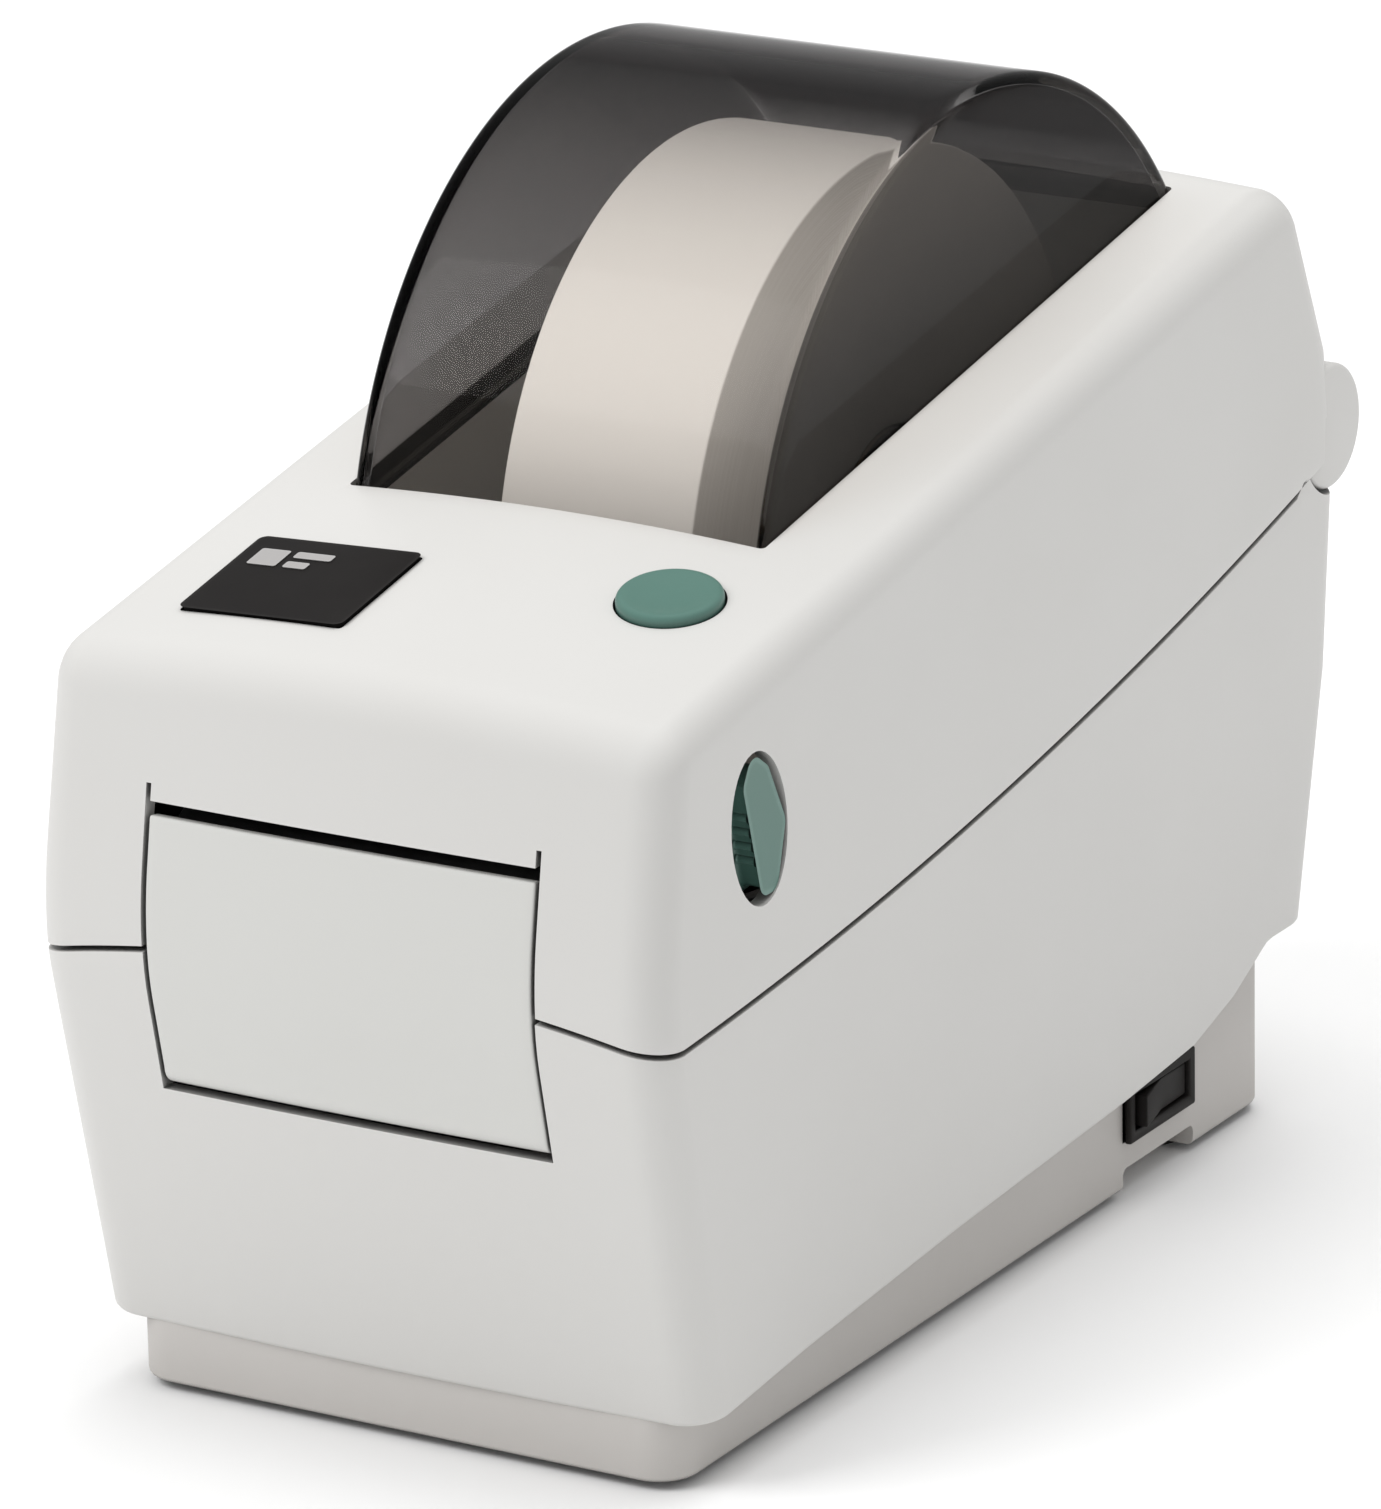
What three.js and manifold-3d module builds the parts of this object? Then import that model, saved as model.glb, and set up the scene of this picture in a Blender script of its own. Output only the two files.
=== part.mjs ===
// Desktop thermal label printer with a hinged lid, a smoked window over the label roll,
// a drop-down front door and a gear-driven platen.
//
// Frame: millimetres, +Z up, the front of the printer faces -Y, +X is its right side
// seen from behind. The origin is on the table under the middle of the bounding box.
// While the pieces are built, Y is the distance back from the foremost point of the front,
// and the whole group is moved forward at the end.

import * as THREE from 'three';
import { mergeVertices } from 'three/addons/utils/BufferGeometryUtils.js';
import Module from 'manifold-3d';

const wasm = await Module();
wasm.setup();

// ---------------------------------------------------------------------------------------
// Driving dimensions
// ---------------------------------------------------------------------------------------

const MEDIA_WIDTH = 60;            // widest label stock
const SIDE_SPACE = 20;             // machine beside the stock, each side
const BASE_HEIGHT = 66.8;          // table to the parting line at the front corners
const LID_HEIGHT = 43.3;           // parting line to the top, measured at the front
const TOP_SLOPE = 10.5;            // degrees, the top rises to the rear
const DECK_LENGTH = 59;            // front of the machine to the front edge of the window
const UNDER_BAY = 2.3;             // rim of the pan to the underside of the bay
const HINGE_BEHIND_BAY = 6.2;      // outside of the bay to the axis of the lid hinge
const BARREL_RADIUS = 9.4;         // lid hinge barrel
const SHELL_WALL = 2.4;            // moulded walls of the lid and of the base
const EDGE_RADIUS = 6;             // long outer edges
const REAR_CORNER = 7;             // vertical corners at the rear
const CROWN = 2.4;                 // top is higher in the middle than at its sides
const FRONT_BOW = 1;               // front is further out in the middle than at its sides
const SIDE_DRAFT = 1;              // base is narrower at the table, each side
const PARTING_GAP = 0.9;           // open line between lid and base
const PARTING_BOW = 5.6;           // parting line rises in the middle of the front
const CLEARANCE = 0.3;             // between neighbouring pieces
const RUNNING = 0.3;               // between a shaft and its bore

const HOOD_WALL = 2;
const HOOD_ROOM = 1.5;             // largest roll to the inside of the window
const DOOR_MARGIN = 0.5;           // door wider than the stock, each side
const DOOR_ABOVE = 22.2;           // top of the door above the parting height
const DOOR_BELOW = 17.1;           // bottom of the door below the parting height
const DOOR_GAP = 0.6;
const SLOT_HEIGHT = 1.9;           // label slot over the door
const PAN_SET_IN = 6;              // pan narrower than the machine, each side
const PAN_HEIGHT = 33;
const PAN_WALL = 2;
const PAN_LIFT = 1.2;              // bottom of the pan above the table
const BAY_WALL = 2;
const ROLL_MARGIN = 2;             // largest roll to the bay floor
const ROLL_LARGEST = 63.5;         // radius of the largest roll
const ROLL_RADIUS = 55;            // roll that is loaded
const ROLL_WIDTH = 31;
const CORE_RADIUS = 14.5;
const CORE_WALL = 2;
const PLATEN_RADIUS = 8;
const PLATEN_BACK = 14.5;          // front of the machine to the platen axis
const PLATEN_RISE = 13.2;          // parting height to the platen axis
const SHAFT_RADIUS = 2.5;
const GEAR_MODULE = 0.8;
const GEAR_WIDTH = 4;
const PLATEN_TEETH = 20;
const IDLER_TEETH = 30;
const PINION_TEETH = 12;
const BACKLASH = 0.3;
const MOTOR_RADIUS = 17.5;
const MOTOR_LENGTH = 26;
const BUTTON_RADIUS = 7.4;
const BUTTON_TRAVEL = 1.2;
const BADGE_WIDTH = 25.5;
const BADGE_LENGTH = 21.5;
const BADGE_DEPTH = 0.9;
const LATCH_SHAFT_RADIUS = 2.2;
const STUD_RADIUS = 2;             // stud that the latch hook grips
const HEAD_PIN_RADIUS = 2;
const HINGE_PIN_RADIUS = 2.2;
const DOOR_PIN_RADIUS = 1.2;
const DOOR_KNUCKLE = 2.6;          // radius of the roll along the foot of the door
const SCREW_RADIUS = 1.4;
const FOOT_RADIUS = 6;
const WEB_THICKNESS = 0.3;
const BEARING_WIDTH = 2;
const IDLER_BEARING = -70;         // degrees, direction from the platen to the idler
const PINION_BEARING = -55;        // degrees, direction from the idler to the pinion
const HOLDER_PLATE = 2.5;
const HOLDER_FOOT = 4.6;           // half length of the foot through the bay floor
const RACK_MODULE = 1;
const RACK_TEETH = 12;
const BOARD_THICKNESS = 1.6;

// ---------------------------------------------------------------------------------------
// Sizes that follow
// ---------------------------------------------------------------------------------------

const HALF_WIDTH = MEDIA_WIDTH / 2 + SIDE_SPACE;
const BAY_RADIUS = ROLL_LARGEST + ROLL_MARGIN;
const HOOD_RADIUS = ROLL_LARGEST + HOOD_ROOM + HOOD_WALL;
const HINGE_REACH = BAY_RADIUS + BAY_WALL + HINGE_BEHIND_BAY;
const RISE = Math.tan(THREE.MathUtils.degToRad(TOP_SLOPE));
const topAt = (y) => BASE_HEIGHT + LID_HEIGHT + RISE * y;
const ROLL_Z = PAN_HEIGHT + UNDER_BAY + BAY_WALL + BAY_RADIUS;
const ROLL_Y = DECK_LENGTH + Math.sqrt(HOOD_RADIUS ** 2 - (topAt(DECK_LENGTH) - ROLL_Z) ** 2);
const HINGE_Y = ROLL_Y + HINGE_REACH;
const HINGE_Z = ROLL_Z;
const DEPTH = HINGE_Y + BARREL_RADIUS;
const HOOD_HALF = MEDIA_WIDTH / 2 + 3;
const BAY_HALF = MEDIA_WIDTH / 2 + 4;
const PLATEN_Z = BASE_HEIGHT + PLATEN_RISE;
const DOOR_TOP = BASE_HEIGHT + DOOR_ABOVE;
const DOOR_BOTTOM = BASE_HEIGHT - DOOR_BELOW;
const SLOT_TOP = DOOR_TOP + SLOT_HEIGHT;
const PAN_HALF = HALF_WIDTH - PAN_SET_IN;
const SKIRT_REAR = PAN_HEIGHT - 3.6;
const FAR = 400;                   // longer than anything that is cut

// ---------------------------------------------------------------------------------------
// Solids and meshes
// ---------------------------------------------------------------------------------------

// Closed geometry to a solid: only positions are kept and shared corners are merged.
function solid(geometry) {
  const bare = geometry.clone();
  bare.deleteAttribute('normal');
  bare.deleteAttribute('uv');
  const merged = mergeVertices(bare, 1e-4);
  return new wasm.Manifold(new wasm.Mesh({
    numProp: 3,
    vertProperties: new Float32Array(merged.attributes.position.array),
    triVerts: new Uint32Array(merged.index.array),
  }));
}

// Solid back to a geometry for a mesh.
function geometryOf(body) {
  const mesh = body.getMesh();
  const geometry = new THREE.BufferGeometry();
  geometry.setAttribute('position', new THREE.BufferAttribute(mesh.vertProperties, 3));
  geometry.setIndex(new THREE.BufferAttribute(mesh.triVerts, 1));
  geometry.computeVertexNormals();
  return geometry;
}

const union = (...bodies) => bodies.reduce((whole, body) => whole.add(body));

function box(x0, x1, y0, y1, z0, z1) {
  const geometry = new THREE.BoxGeometry(x1 - x0, y1 - y0, z1 - z0);
  geometry.translate((x0 + x1) / 2, (y0 + y1) / 2, (z0 + z1) / 2);
  return solid(geometry);
}

// Cylinder along X between x0 and x1, with its axis at (y, z).
function rod(x0, x1, y, z, radius, sides = 24) {
  const geometry = new THREE.CylinderGeometry(radius, radius, x1 - x0, sides);
  geometry.rotateZ(-Math.PI / 2);
  geometry.translate((x0 + x1) / 2, y, z);
  return solid(geometry);
}

// Cylinder along Z between z0 and z1, with its axis at (x, y).
function post(x, y, z0, z1, radius, sides = 24) {
  const geometry = new THREE.CylinderGeometry(radius, radius, z1 - z0, sides);
  geometry.rotateX(Math.PI / 2);
  geometry.translate(x, y, (z0 + z1) / 2);
  return solid(geometry);
}

// Outline of [y, z] points carried along X between x0 and x1.
function sideSlab(points, x0, x1) {
  const shape = new THREE.Shape(points.map(([y, z]) => new THREE.Vector2(y, z)));
  const geometry = new THREE.ExtrudeGeometry(shape, { depth: x1 - x0, bevelEnabled: false });
  geometry.applyMatrix4(new THREE.Matrix4().set(0, 0, 1, x0, 1, 0, 0, 0, 0, 1, 0, 0, 0, 0, 0, 1));
  return solid(geometry);
}

// Outline of [x, y] points carried up from z0 to z1.
function planSlab(points, z0, z1) {
  const shape = new THREE.Shape(points.map(([x, y]) => new THREE.Vector2(x, y)));
  const geometry = new THREE.ExtrudeGeometry(shape, { depth: z1 - z0, bevelEnabled: false });
  geometry.translate(0, 0, z0);
  return solid(geometry);
}

// Points of an arc from angle a0 to a1 in degrees, both ends included.
function arc(cy, cz, radius, a0, a1, steps) {
  return Array.from({ length: steps + 1 }, (_, i) => {
    const angle = THREE.MathUtils.degToRad(a0 + (a1 - a0) * i / steps);
    return [cy + radius * Math.cos(angle), cz + radius * Math.sin(angle)];
  });
}

// The corner of an outline, between its neighbours, replaced by an arc that touches both sides.
function fillet(before, corner, after, radius, steps) {
  const c = new THREE.Vector2(...corner);
  const u = new THREE.Vector2(...before).sub(c).normalize();
  const v = new THREE.Vector2(...after).sub(c).normalize();
  const half = Math.acos(u.dot(v)) / 2;
  const centre = u.clone().add(v).normalize().multiplyScalar(radius / Math.sin(half)).add(c);
  const start = u.clone().multiplyScalar(radius / Math.tan(half)).add(c).sub(centre).angle();
  const end = v.clone().multiplyScalar(radius / Math.tan(half)).add(c).sub(centre).angle();
  const turn = THREE.MathUtils.euclideanModulo(end - start + Math.PI, 2 * Math.PI) - Math.PI;
  return Array.from({ length: steps + 1 }, (_, i) => {
    const angle = start + turn * i / steps;
    return [centre.x + radius * Math.cos(angle), centre.y + radius * Math.sin(angle)];
  });
}

// Outline with every corner rounded by the same radius.
function roundedOutline(corners, radius, steps = 4) {
  return corners.flatMap((corner, i) => {
    const before = corners[(i + corners.length - 1) % corners.length];
    const after = corners[(i + 1) % corners.length];
    return fillet(before, corner, after, radius, steps);
  });
}

const rectangle = (a0, a1, b0, b1) => [[a0, b0], [a1, b0], [a1, b1], [a0, b1]];

// The two sides of the machine, and the span from x0 to x1 out from the middle on one of them.
const SIDES = [['left', -1], ['right', 1]];
const sided = (side, x0, x1) => (side > 0 ? [x0, x1] : [-x1, -x0]);

const colours = {
  white: [0xf1f1ef, 0.45, 0],
  lightGrey: [0xe4e4e1, 0.5, 0],
  panGrey: [0xc9c7c2, 0.55, 0],
  smoked: [0x3a3331, 0.12, 0],
  black: [0x1c1b1b, 0.4, 0],
  bay: [0x35353a, 0.6, 0],
  green: [0x5b8d7d, 0.4, 0],
  gearWhite: [0xe9e6da, 0.5, 0],
  rubber: [0x2a2a2c, 0.8, 0],
  steel: [0xb9bcc0, 0.3, 1],
  zinc: [0xa8abac, 0.45, 1],
  aluminium: [0xc6c8ca, 0.4, 1],
  paper: [0xf3efe8, 0.85, 0],
  card: [0xa98a62, 0.9, 0],
  board: [0x1f5a3a, 0.5, 0],
  ceramic: [0xd8d2c4, 0.3, 0],
  lens: [0xbfe3cc, 0.2, 0],
};

const printer = new THREE.Group();

function addMesh(name, body, colourName, parent = printer) {
  const [color, roughness, metalness] = colours[colourName];
  const material = new THREE.MeshStandardMaterial({ color, roughness, metalness });
  const mesh = new THREE.Mesh(geometryOf(body), material);
  mesh.name = name;
  parent.add(mesh);
  return mesh;
}

// ---------------------------------------------------------------------------------------
// Outer form, shared by the lid, the base, the door and everything that follows the skin
// ---------------------------------------------------------------------------------------

const ramp = (value, from, to) => THREE.MathUtils.clamp((value - from) / (to - from), 0, 1);

// Roundness that the rear corners have beyond that of the other long edges.
function rearCornerDepth(across) {
  const inset = (radius) => {
    const reach = Math.max(0, across - (HALF_WIDTH - radius));
    return radius - Math.sqrt(Math.max(0, radius ** 2 - reach ** 2));
  };
  return inset(REAR_CORNER) - inset(EDGE_RADIUS);
}

// The straight extrusion is bent into the moulded form: crowned top, bowed front,
// rounded rear corners, and sides that lean in towards the table.
function mould(geometry) {
  const position = geometry.attributes.position;
  for (let i = 0; i < position.count; i += 1) {
    const x = position.getX(i);
    const y = position.getY(i);
    const z = position.getZ(i);
    const share = Math.min(1, Math.abs(x) / HALF_WIDTH);
    const upper = ramp(z, BASE_HEIGHT + 8, BASE_HEIGHT + 34);
    const front = 1 - ramp(y, 20, DECK_LENGTH);
    const rear = ramp(y, HINGE_Y - 34, HINGE_Y - 12);
    const draft = SIDE_DRAFT / HALF_WIDTH * Math.abs(z - BASE_HEIGHT) / BASE_HEIGHT;
    const back = FRONT_BOW * share ** 2 * front - rearCornerDepth(Math.abs(x)) * rear;
    position.setXYZ(i, x * (1 - draft), y + back, z - CROWN * share ** 2 * upper);
  }
  return geometry;
}

// Side view of the whole form, going round from the foot of the front.
function sideOutline() {
  const foot = [14.4, 0];
  const bulgeStart = [1, BASE_HEIGHT - 4];
  const bulgeEnd = [0.7, BASE_HEIGHT + 14];
  const frontTop = [5.7, topAt(5.7)];
  const rearTop = [HINGE_Y - 10.3, topAt(HINGE_Y - 10.3)];
  const rearLid = [HINGE_Y + 2, HINGE_Z + 12];
  const bulge = new THREE.QuadraticBezierCurve(
    new THREE.Vector2(...bulgeStart),
    new THREE.Vector2(-0.7, BASE_HEIGHT + 4),
    new THREE.Vector2(...bulgeEnd),
  ).getPoints(6).map((point) => [point.x, point.y]);
  return [
    foot,
    ...bulge,
    ...fillet(bulgeEnd, frontTop, rearTop, 9, 5),
    ...fillet(frontTop, rearTop, rearLid, 10, 5),
    rearLid,
    [HINGE_Y + 3.5, HINGE_Z - 3],
    [HINGE_Y + 3.5, HINGE_Z - 10],
    [HINGE_Y + 0.5, BASE_HEIGHT],
    [HINGE_Y - 6.5, SKIRT_REAR],
    [HINGE_Y - 9.5, 0],
  ].reverse();
}

// The whole form as one solid, with its skin moved inwards by inset.
function form(inset) {
  const shape = new THREE.Shape(sideOutline().map(([y, z]) => new THREE.Vector2(y, z)));
  const round = EDGE_RADIUS - inset;
  const half = HALF_WIDTH - inset - round;
  const geometry = new THREE.ExtrudeGeometry(shape, {
    depth: 2 * half,
    steps: 8,
    bevelEnabled: true,
    bevelThickness: round,
    bevelSize: round,
    bevelOffset: -EDGE_RADIUS,
    bevelSegments: 3,
  });
  geometry.applyMatrix4(new THREE.Matrix4().set(0, 0, 1, -half, 1, 0, 0, 0, 0, 1, 0, 0, 0, 0, 0, 1));
  return solid(mould(geometry));
}

const outside = form(0);
const inside = form(SHELL_WALL);
const skin = outside.subtract(inside);

// Height of the parting line on the sides.
function partingAt(y) {
  const run = Math.max(0, y - 7.5);
  const reach = HINGE_Y - 7.5;
  return BASE_HEIGHT + (HINGE_Z - 4 - BASE_HEIGHT) * (0.37 * run / reach + 0.63 * (run / reach) ** 2);
}

// Everything above the parting surface, raised by offset. The surface is bowed across the front.
function aboveParting(offset) {
  const stations = Array.from({ length: 15 }, (_, i) => -20 + i * (DEPTH + 40) / 14);
  const outline = [
    ...stations.map((y) => [y, partingAt(y) + offset]),
    [DEPTH + 20, FAR],
    [-20, FAR],
  ];
  const shape = new THREE.Shape(outline.map(([y, z]) => new THREE.Vector2(y, z)));
  const half = HALF_WIDTH + 4;
  const geometry = new THREE.ExtrudeGeometry(shape, { depth: 2 * half, steps: 18, bevelEnabled: false });
  geometry.applyMatrix4(new THREE.Matrix4().set(0, 0, 1, -half, 1, 0, 0, 0, 0, 1, 0, 0, 0, 0, 0, 1));
  const position = geometry.attributes.position;
  for (let i = 0; i < position.count; i += 1) {
    const share = Math.min(1, Math.abs(position.getX(i)) / HALF_WIDTH);
    const front = 1 - ramp(position.getY(i), 12, DECK_LENGTH);
    const bow = position.getZ(i) < FAR / 2 ? PARTING_BOW * (1 - share ** 2) * front : 0;
    position.setZ(i, position.getZ(i) + bow);
  }
  return solid(geometry);
}

// Lower edge of the base housing, seen from the side.
function skirtEdge(offset) {
  return [
    [-20, 7.5], [10, 10], [40, 13], [82, 16], [132, 18.6],
    [HINGE_Y - 44, 20.4], [HINGE_Y - 32, 24], [HINGE_Y - 21, SKIRT_REAR], [DEPTH + 20, SKIRT_REAR],
  ].map(([y, z]) => [y, z + offset]);
}

const aboveSkirt = (offset) => sideSlab(
  [...skirtEdge(offset), [DEPTH + 20, FAR], [-20, FAR]], -HALF_WIDTH - 2, HALF_WIDTH + 2);

// ---------------------------------------------------------------------------------------
// Places of the moving pieces
// ---------------------------------------------------------------------------------------

const pitchRadius = (teeth) => GEAR_MODULE * teeth / 2;
const meshDistance = (a, b) => pitchRadius(a) + pitchRadius(b);
const along = ([y, z], degrees, distance) => {
  const angle = THREE.MathUtils.degToRad(degrees);
  return [y + distance * Math.cos(angle), z + distance * Math.sin(angle)];
};

const PLATEN = [PLATEN_BACK, PLATEN_Z];
const IDLER = along(PLATEN, IDLER_BEARING, meshDistance(PLATEN_TEETH, IDLER_TEETH));
const PINION = along(IDLER, PINION_BEARING, meshDistance(IDLER_TEETH, PINION_TEETH));

const BAY_OUTER_HALF = BAY_HALF + BAY_WALL;
const BEARING_X = BAY_OUTER_HALF + CLEARANCE;
const GEAR_X = BEARING_X + BEARING_WIDTH + 0.6;
const LATCH = [27, PLATEN_Z + 21];
const HEAD_PIVOT = [DECK_LENGTH - 6, PLATEN_Z + 17];
const HOOK_X = GEAR_X + 0.6;
const SHAFT_END = HALF_WIDTH - SHELL_WALL - 1.3;
const LEVER_X = [SHAFT_END - 0.6, HALF_WIDTH - 0.5];
const STUD = [LATCH[0] + 10.5, PLATEN_Z + 2];
const DOOR_HALF = MEDIA_WIDTH / 2 + DOOR_MARGIN;
const DOOR_PIVOT = [6.4, DOOR_BOTTOM + DOOR_KNUCKLE];
const SWITCH_Y = [ROLL_Y + 17, ROLL_Y + 37];
const SWITCH_Z = [8.6, 17.6];
const SCREWS_Y = [DECK_LENGTH + 1, ROLL_Y + 7.5];
const SCREW_X = PAN_HALF - 5;
const SCREW_BOSS_TOP = 14;
const SCREW_END = 30;
const FEET_Y = [26, HINGE_Y - 31];
const FOOT_X = PAN_HALF - 4 - FOOT_RADIUS;
const PAN_FRONT = 13;
const PAN_REAR = HINGE_Y - 10.5;
const BOARD_Z = PAN_HEIGHT + 1.3;
const BOARD_BACK = HINGE_Y - 10;

// ---------------------------------------------------------------------------------------
// Lid
// ---------------------------------------------------------------------------------------

// Place on the sloping top: z is measured from the crowned surface.
function onTop(x, y) {
  const place = new THREE.Group();
  const share = x / HALF_WIDTH;
  place.position.set(x, y, topAt(y) - CROWN * share ** 2);
  place.rotation.set(
    THREE.MathUtils.degToRad(TOP_SLOPE), Math.atan(2 * CROWN * share / HALF_WIDTH), 0, 'YXZ');
  place.updateMatrix();
  return place;
}

const placed = (body, place) => body.transform(place.matrix.toArray());

const HEAD_HALF = MEDIA_WIDTH / 2 + 3;
const HEAD_EAR = HEAD_HALF + 1.2;
const BUTTON_X = HEAD_EAR - 5.2;
const BUTTON_Y = DECK_LENGTH - 18;
const BADGE_X = 27.2 - HALF_WIDTH;
const BADGE_Y = DECK_LENGTH - 29;
const buttonPlace = onTop(BUTTON_X, BUTTON_Y);
const badgePlace = onTop(BADGE_X, BADGE_Y);

const leverOpening = () => {
  const oval = arc(0, 0, 1, 0, 345, 23).map(([a, b]) => [7.3 * a, 11 * b]);
  const lean = THREE.MathUtils.degToRad(7);
  return oval.map(([a, b]) => [
    LATCH[0] + 1.6 + a * Math.cos(lean) - b * Math.sin(lean),
    LATCH[1] - 9.4 + a * Math.sin(lean) + b * Math.cos(lean),
  ]);
};

// Bearing plate for a shaft across the lid, hanging from the inside of the top.
function lidEar(x0, x1, [y, z], halfLength, below, bore) {
  const ear = box(x0, x1, y - halfLength, y + halfLength, z - below, FAR).intersect(form(1));
  return ear.subtract(rod(x0 - 1, x1 + 1, y, z, bore));
}

const KNUCKLE = [MEDIA_WIDTH / 2 - 8, MEDIA_WIDTH / 2 + 6];
const KNUCKLE_RADIUS = BARREL_RADIUS - 0.6;
const BARREL_END = HALF_WIDTH - 1;

// The window meets the sloping top nearer to the roll axis at the rear than at the front.
function hoodRearEdge() {
  let reach = ROLL_Y - DECK_LENGTH;
  for (let i = 0; i < 20; i += 1) {
    reach = Math.sqrt(HOOD_RADIUS ** 2 - (topAt(ROLL_Y + reach) - ROLL_Z) ** 2);
  }
  return ROLL_Y + reach;
}
const HOOD_REAR = hoodRearEdge();

function lidShell() {
  const barrel = rod(-BARREL_END, BARREL_END, HINGE_Y, HINGE_Z, BARREL_RADIUS, 32);
  const rearGap = box(-FAR, FAR, HINGE_Y - 3, FAR, 0, HINGE_Z + 2);
  let lid = skin.intersect(aboveParting(PARTING_GAP / 2)).subtract(rearGap).add(barrel);
  const glassHalf = HOOD_HALF + CLEARANCE;
  const glassFront = DECK_LENGTH - CLEARANCE;
  const glassRear = HOOD_REAR + CLEARANCE;
  lid = lid.subtract(box(-glassHalf, glassHalf, glassFront, glassRear, BASE_HEIGHT + 20, FAR));
  lid = lid.subtract(box(-DOOR_HALF - DOOR_GAP, DOOR_HALF + DOOR_GAP, -5, 9, 0, SLOT_TOP));
  for (const [, side] of SIDES) {
    const tick = side * (DOOR_HALF + DOOR_GAP / 2);
    lid = lid.subtract(box(tick - 0.4, tick + 0.4, -5, 9, 0, SLOT_TOP + 2.4));
    const slot = sided(side, KNUCKLE[0] - CLEARANCE, KNUCKLE[1] + CLEARANCE);
    lid = lid.subtract(rod(...slot, HINGE_Y, HINGE_Z, BARREL_RADIUS + 0.6, 32));
    const bore = sided(side, KNUCKLE[0], BARREL_END - 1);
    lid = lid.subtract(rod(...bore, HINGE_Y, HINGE_Z, HINGE_PIN_RADIUS + RUNNING));
    const wall = sided(side, HALF_WIDTH - SHELL_WALL - 2, HALF_WIDTH + 2);
    lid = lid.subtract(sideSlab(leverOpening(), ...wall));
    const shaftEar = sided(side, LEVER_X[0] - CLEARANCE - 2, LEVER_X[0] - CLEARANCE);
    lid = lid.add(lidEar(...shaftEar, LATCH, 4.5, 5, LATCH_SHAFT_RADIUS + RUNNING));
    const headEar = sided(side, HEAD_EAR, HEAD_EAR + 2.4);
    lid = lid.add(lidEar(...headEar, HEAD_PIVOT, 3.6, 3.6, HEAD_PIN_RADIUS + RUNNING));
  }
  lid = lid.subtract(placed(post(0, 0, -10, 5, BUTTON_RADIUS + 0.35, 36), buttonPlace));
  const pocket = box(-BADGE_WIDTH / 2 - CLEARANCE, BADGE_WIDTH / 2 + CLEARANCE,
    -BADGE_LENGTH / 2 - CLEARANCE, BADGE_LENGTH / 2 + CLEARANCE, -BADGE_DEPTH, 5);
  return lid.subtract(placed(pocket, badgePlace));
}

addMesh('top_housing', lidShell(), 'white');

// Smoked window: an arched trough upside down, with its edge a little below the top skin.
function hoodWindow() {
  const skirt = SHELL_WALL + 0.8;
  const innerHalf = HOOD_HALF - HOOD_WALL;
  const outer = rod(-HOOD_HALF, HOOD_HALF, ROLL_Y, ROLL_Z, HOOD_RADIUS, 72);
  const inner = rod(-innerHalf, innerHalf, ROLL_Y, ROLL_Z, HOOD_RADIUS - HOOD_WALL, 72);
  const above = sideSlab([
    [0, topAt(0) - skirt],
    [DEPTH, topAt(DEPTH) - skirt],
    [FAR, FAR],
    [-FAR, FAR],
  ], -HALF_WIDTH, HALF_WIDTH);
  const limits = box(-FAR, FAR, DECK_LENGTH, HOOD_REAR, 0, FAR);
  return outer.subtract(inner).intersect(above).intersect(limits);
}
addMesh('hood_window', hoodWindow(), 'smoked');

printer.add(buttonPlace, badgePlace);
addMesh('badge_plate', box(-BADGE_WIDTH / 2, BADGE_WIDTH / 2, -BADGE_LENGTH / 2, BADGE_LENGTH / 2,
  CLEARANCE - BADGE_DEPTH, 0.5), 'black', badgePlace);

// Feed button: cap with a domed top, a flange under the skin and a stem to the switch.
const CAP_PROUD = 1.4;
const FLANGE_TOP = -SHELL_WALL - 0.5;
const feedButton = new THREE.LatheGeometry([
  [0, FLANGE_TOP - 4],
  [2.4, FLANGE_TOP - 4],
  [2.4, FLANGE_TOP - 1.2],
  [BUTTON_RADIUS + 1.3, FLANGE_TOP - 1.2],
  [BUTTON_RADIUS + 1.3, FLANGE_TOP],
  [BUTTON_RADIUS, FLANGE_TOP],
  [BUTTON_RADIUS, CAP_PROUD - 0.9],
  [BUTTON_RADIUS - 0.5, CAP_PROUD - 0.35],
  [BUTTON_RADIUS / 2, CAP_PROUD],
  [0, CAP_PROUD],
].map(([r, z]) => new THREE.Vector2(r, z)), 26);
feedButton.rotateX(Math.PI / 2);
addMesh('feed_button', solid(feedButton), 'green', buttonPlace);

const SWITCH_TOP = FLANGE_TOP - 4 - BUTTON_TRAVEL - 0.2;
const buttonBoard = union(
  box(-11, 5, -9, 11, SWITCH_TOP - 3, SWITCH_TOP - 1.6),
  box(-3, 3, -3, 3, SWITCH_TOP - 1.8, SWITCH_TOP),
);
addMesh('button_board', buttonBoard, 'board', buttonPlace);
const lightLens = post(-6.5, 7, SWITCH_TOP - 1.6 + CLEARANCE, SWITCH_TOP + 2, 1.5, 12);
addMesh('status_light', lightLens, 'lens', buttonPlace);

// Tear bar: a strip with a toothed lower edge inside the label slot.
function tearBar() {
  const teeth = 30;
  const pitch = 2 * (DOOR_HALF - 1) / teeth;
  const edge = Array.from({ length: 2 * teeth + 1 }, (_, i) => [
    1 - DOOR_HALF + i * pitch / 2, i % 2 === 0 ? 0.7 : 0,
  ]);
  const outline = [...edge, [DOOR_HALF - 1, 6], [1 - DOOR_HALF, 6]];
  return planSlab(outline, 0, 0.6).rotate([90, 0, 0]).translate([0, 4.7 + SHELL_WALL, SLOT_TOP - 1]);
}
addMesh('tear_bar', tearBar(), 'steel');

// ---------------------------------------------------------------------------------------
// Print head, sprung against the platen
// ---------------------------------------------------------------------------------------

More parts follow.
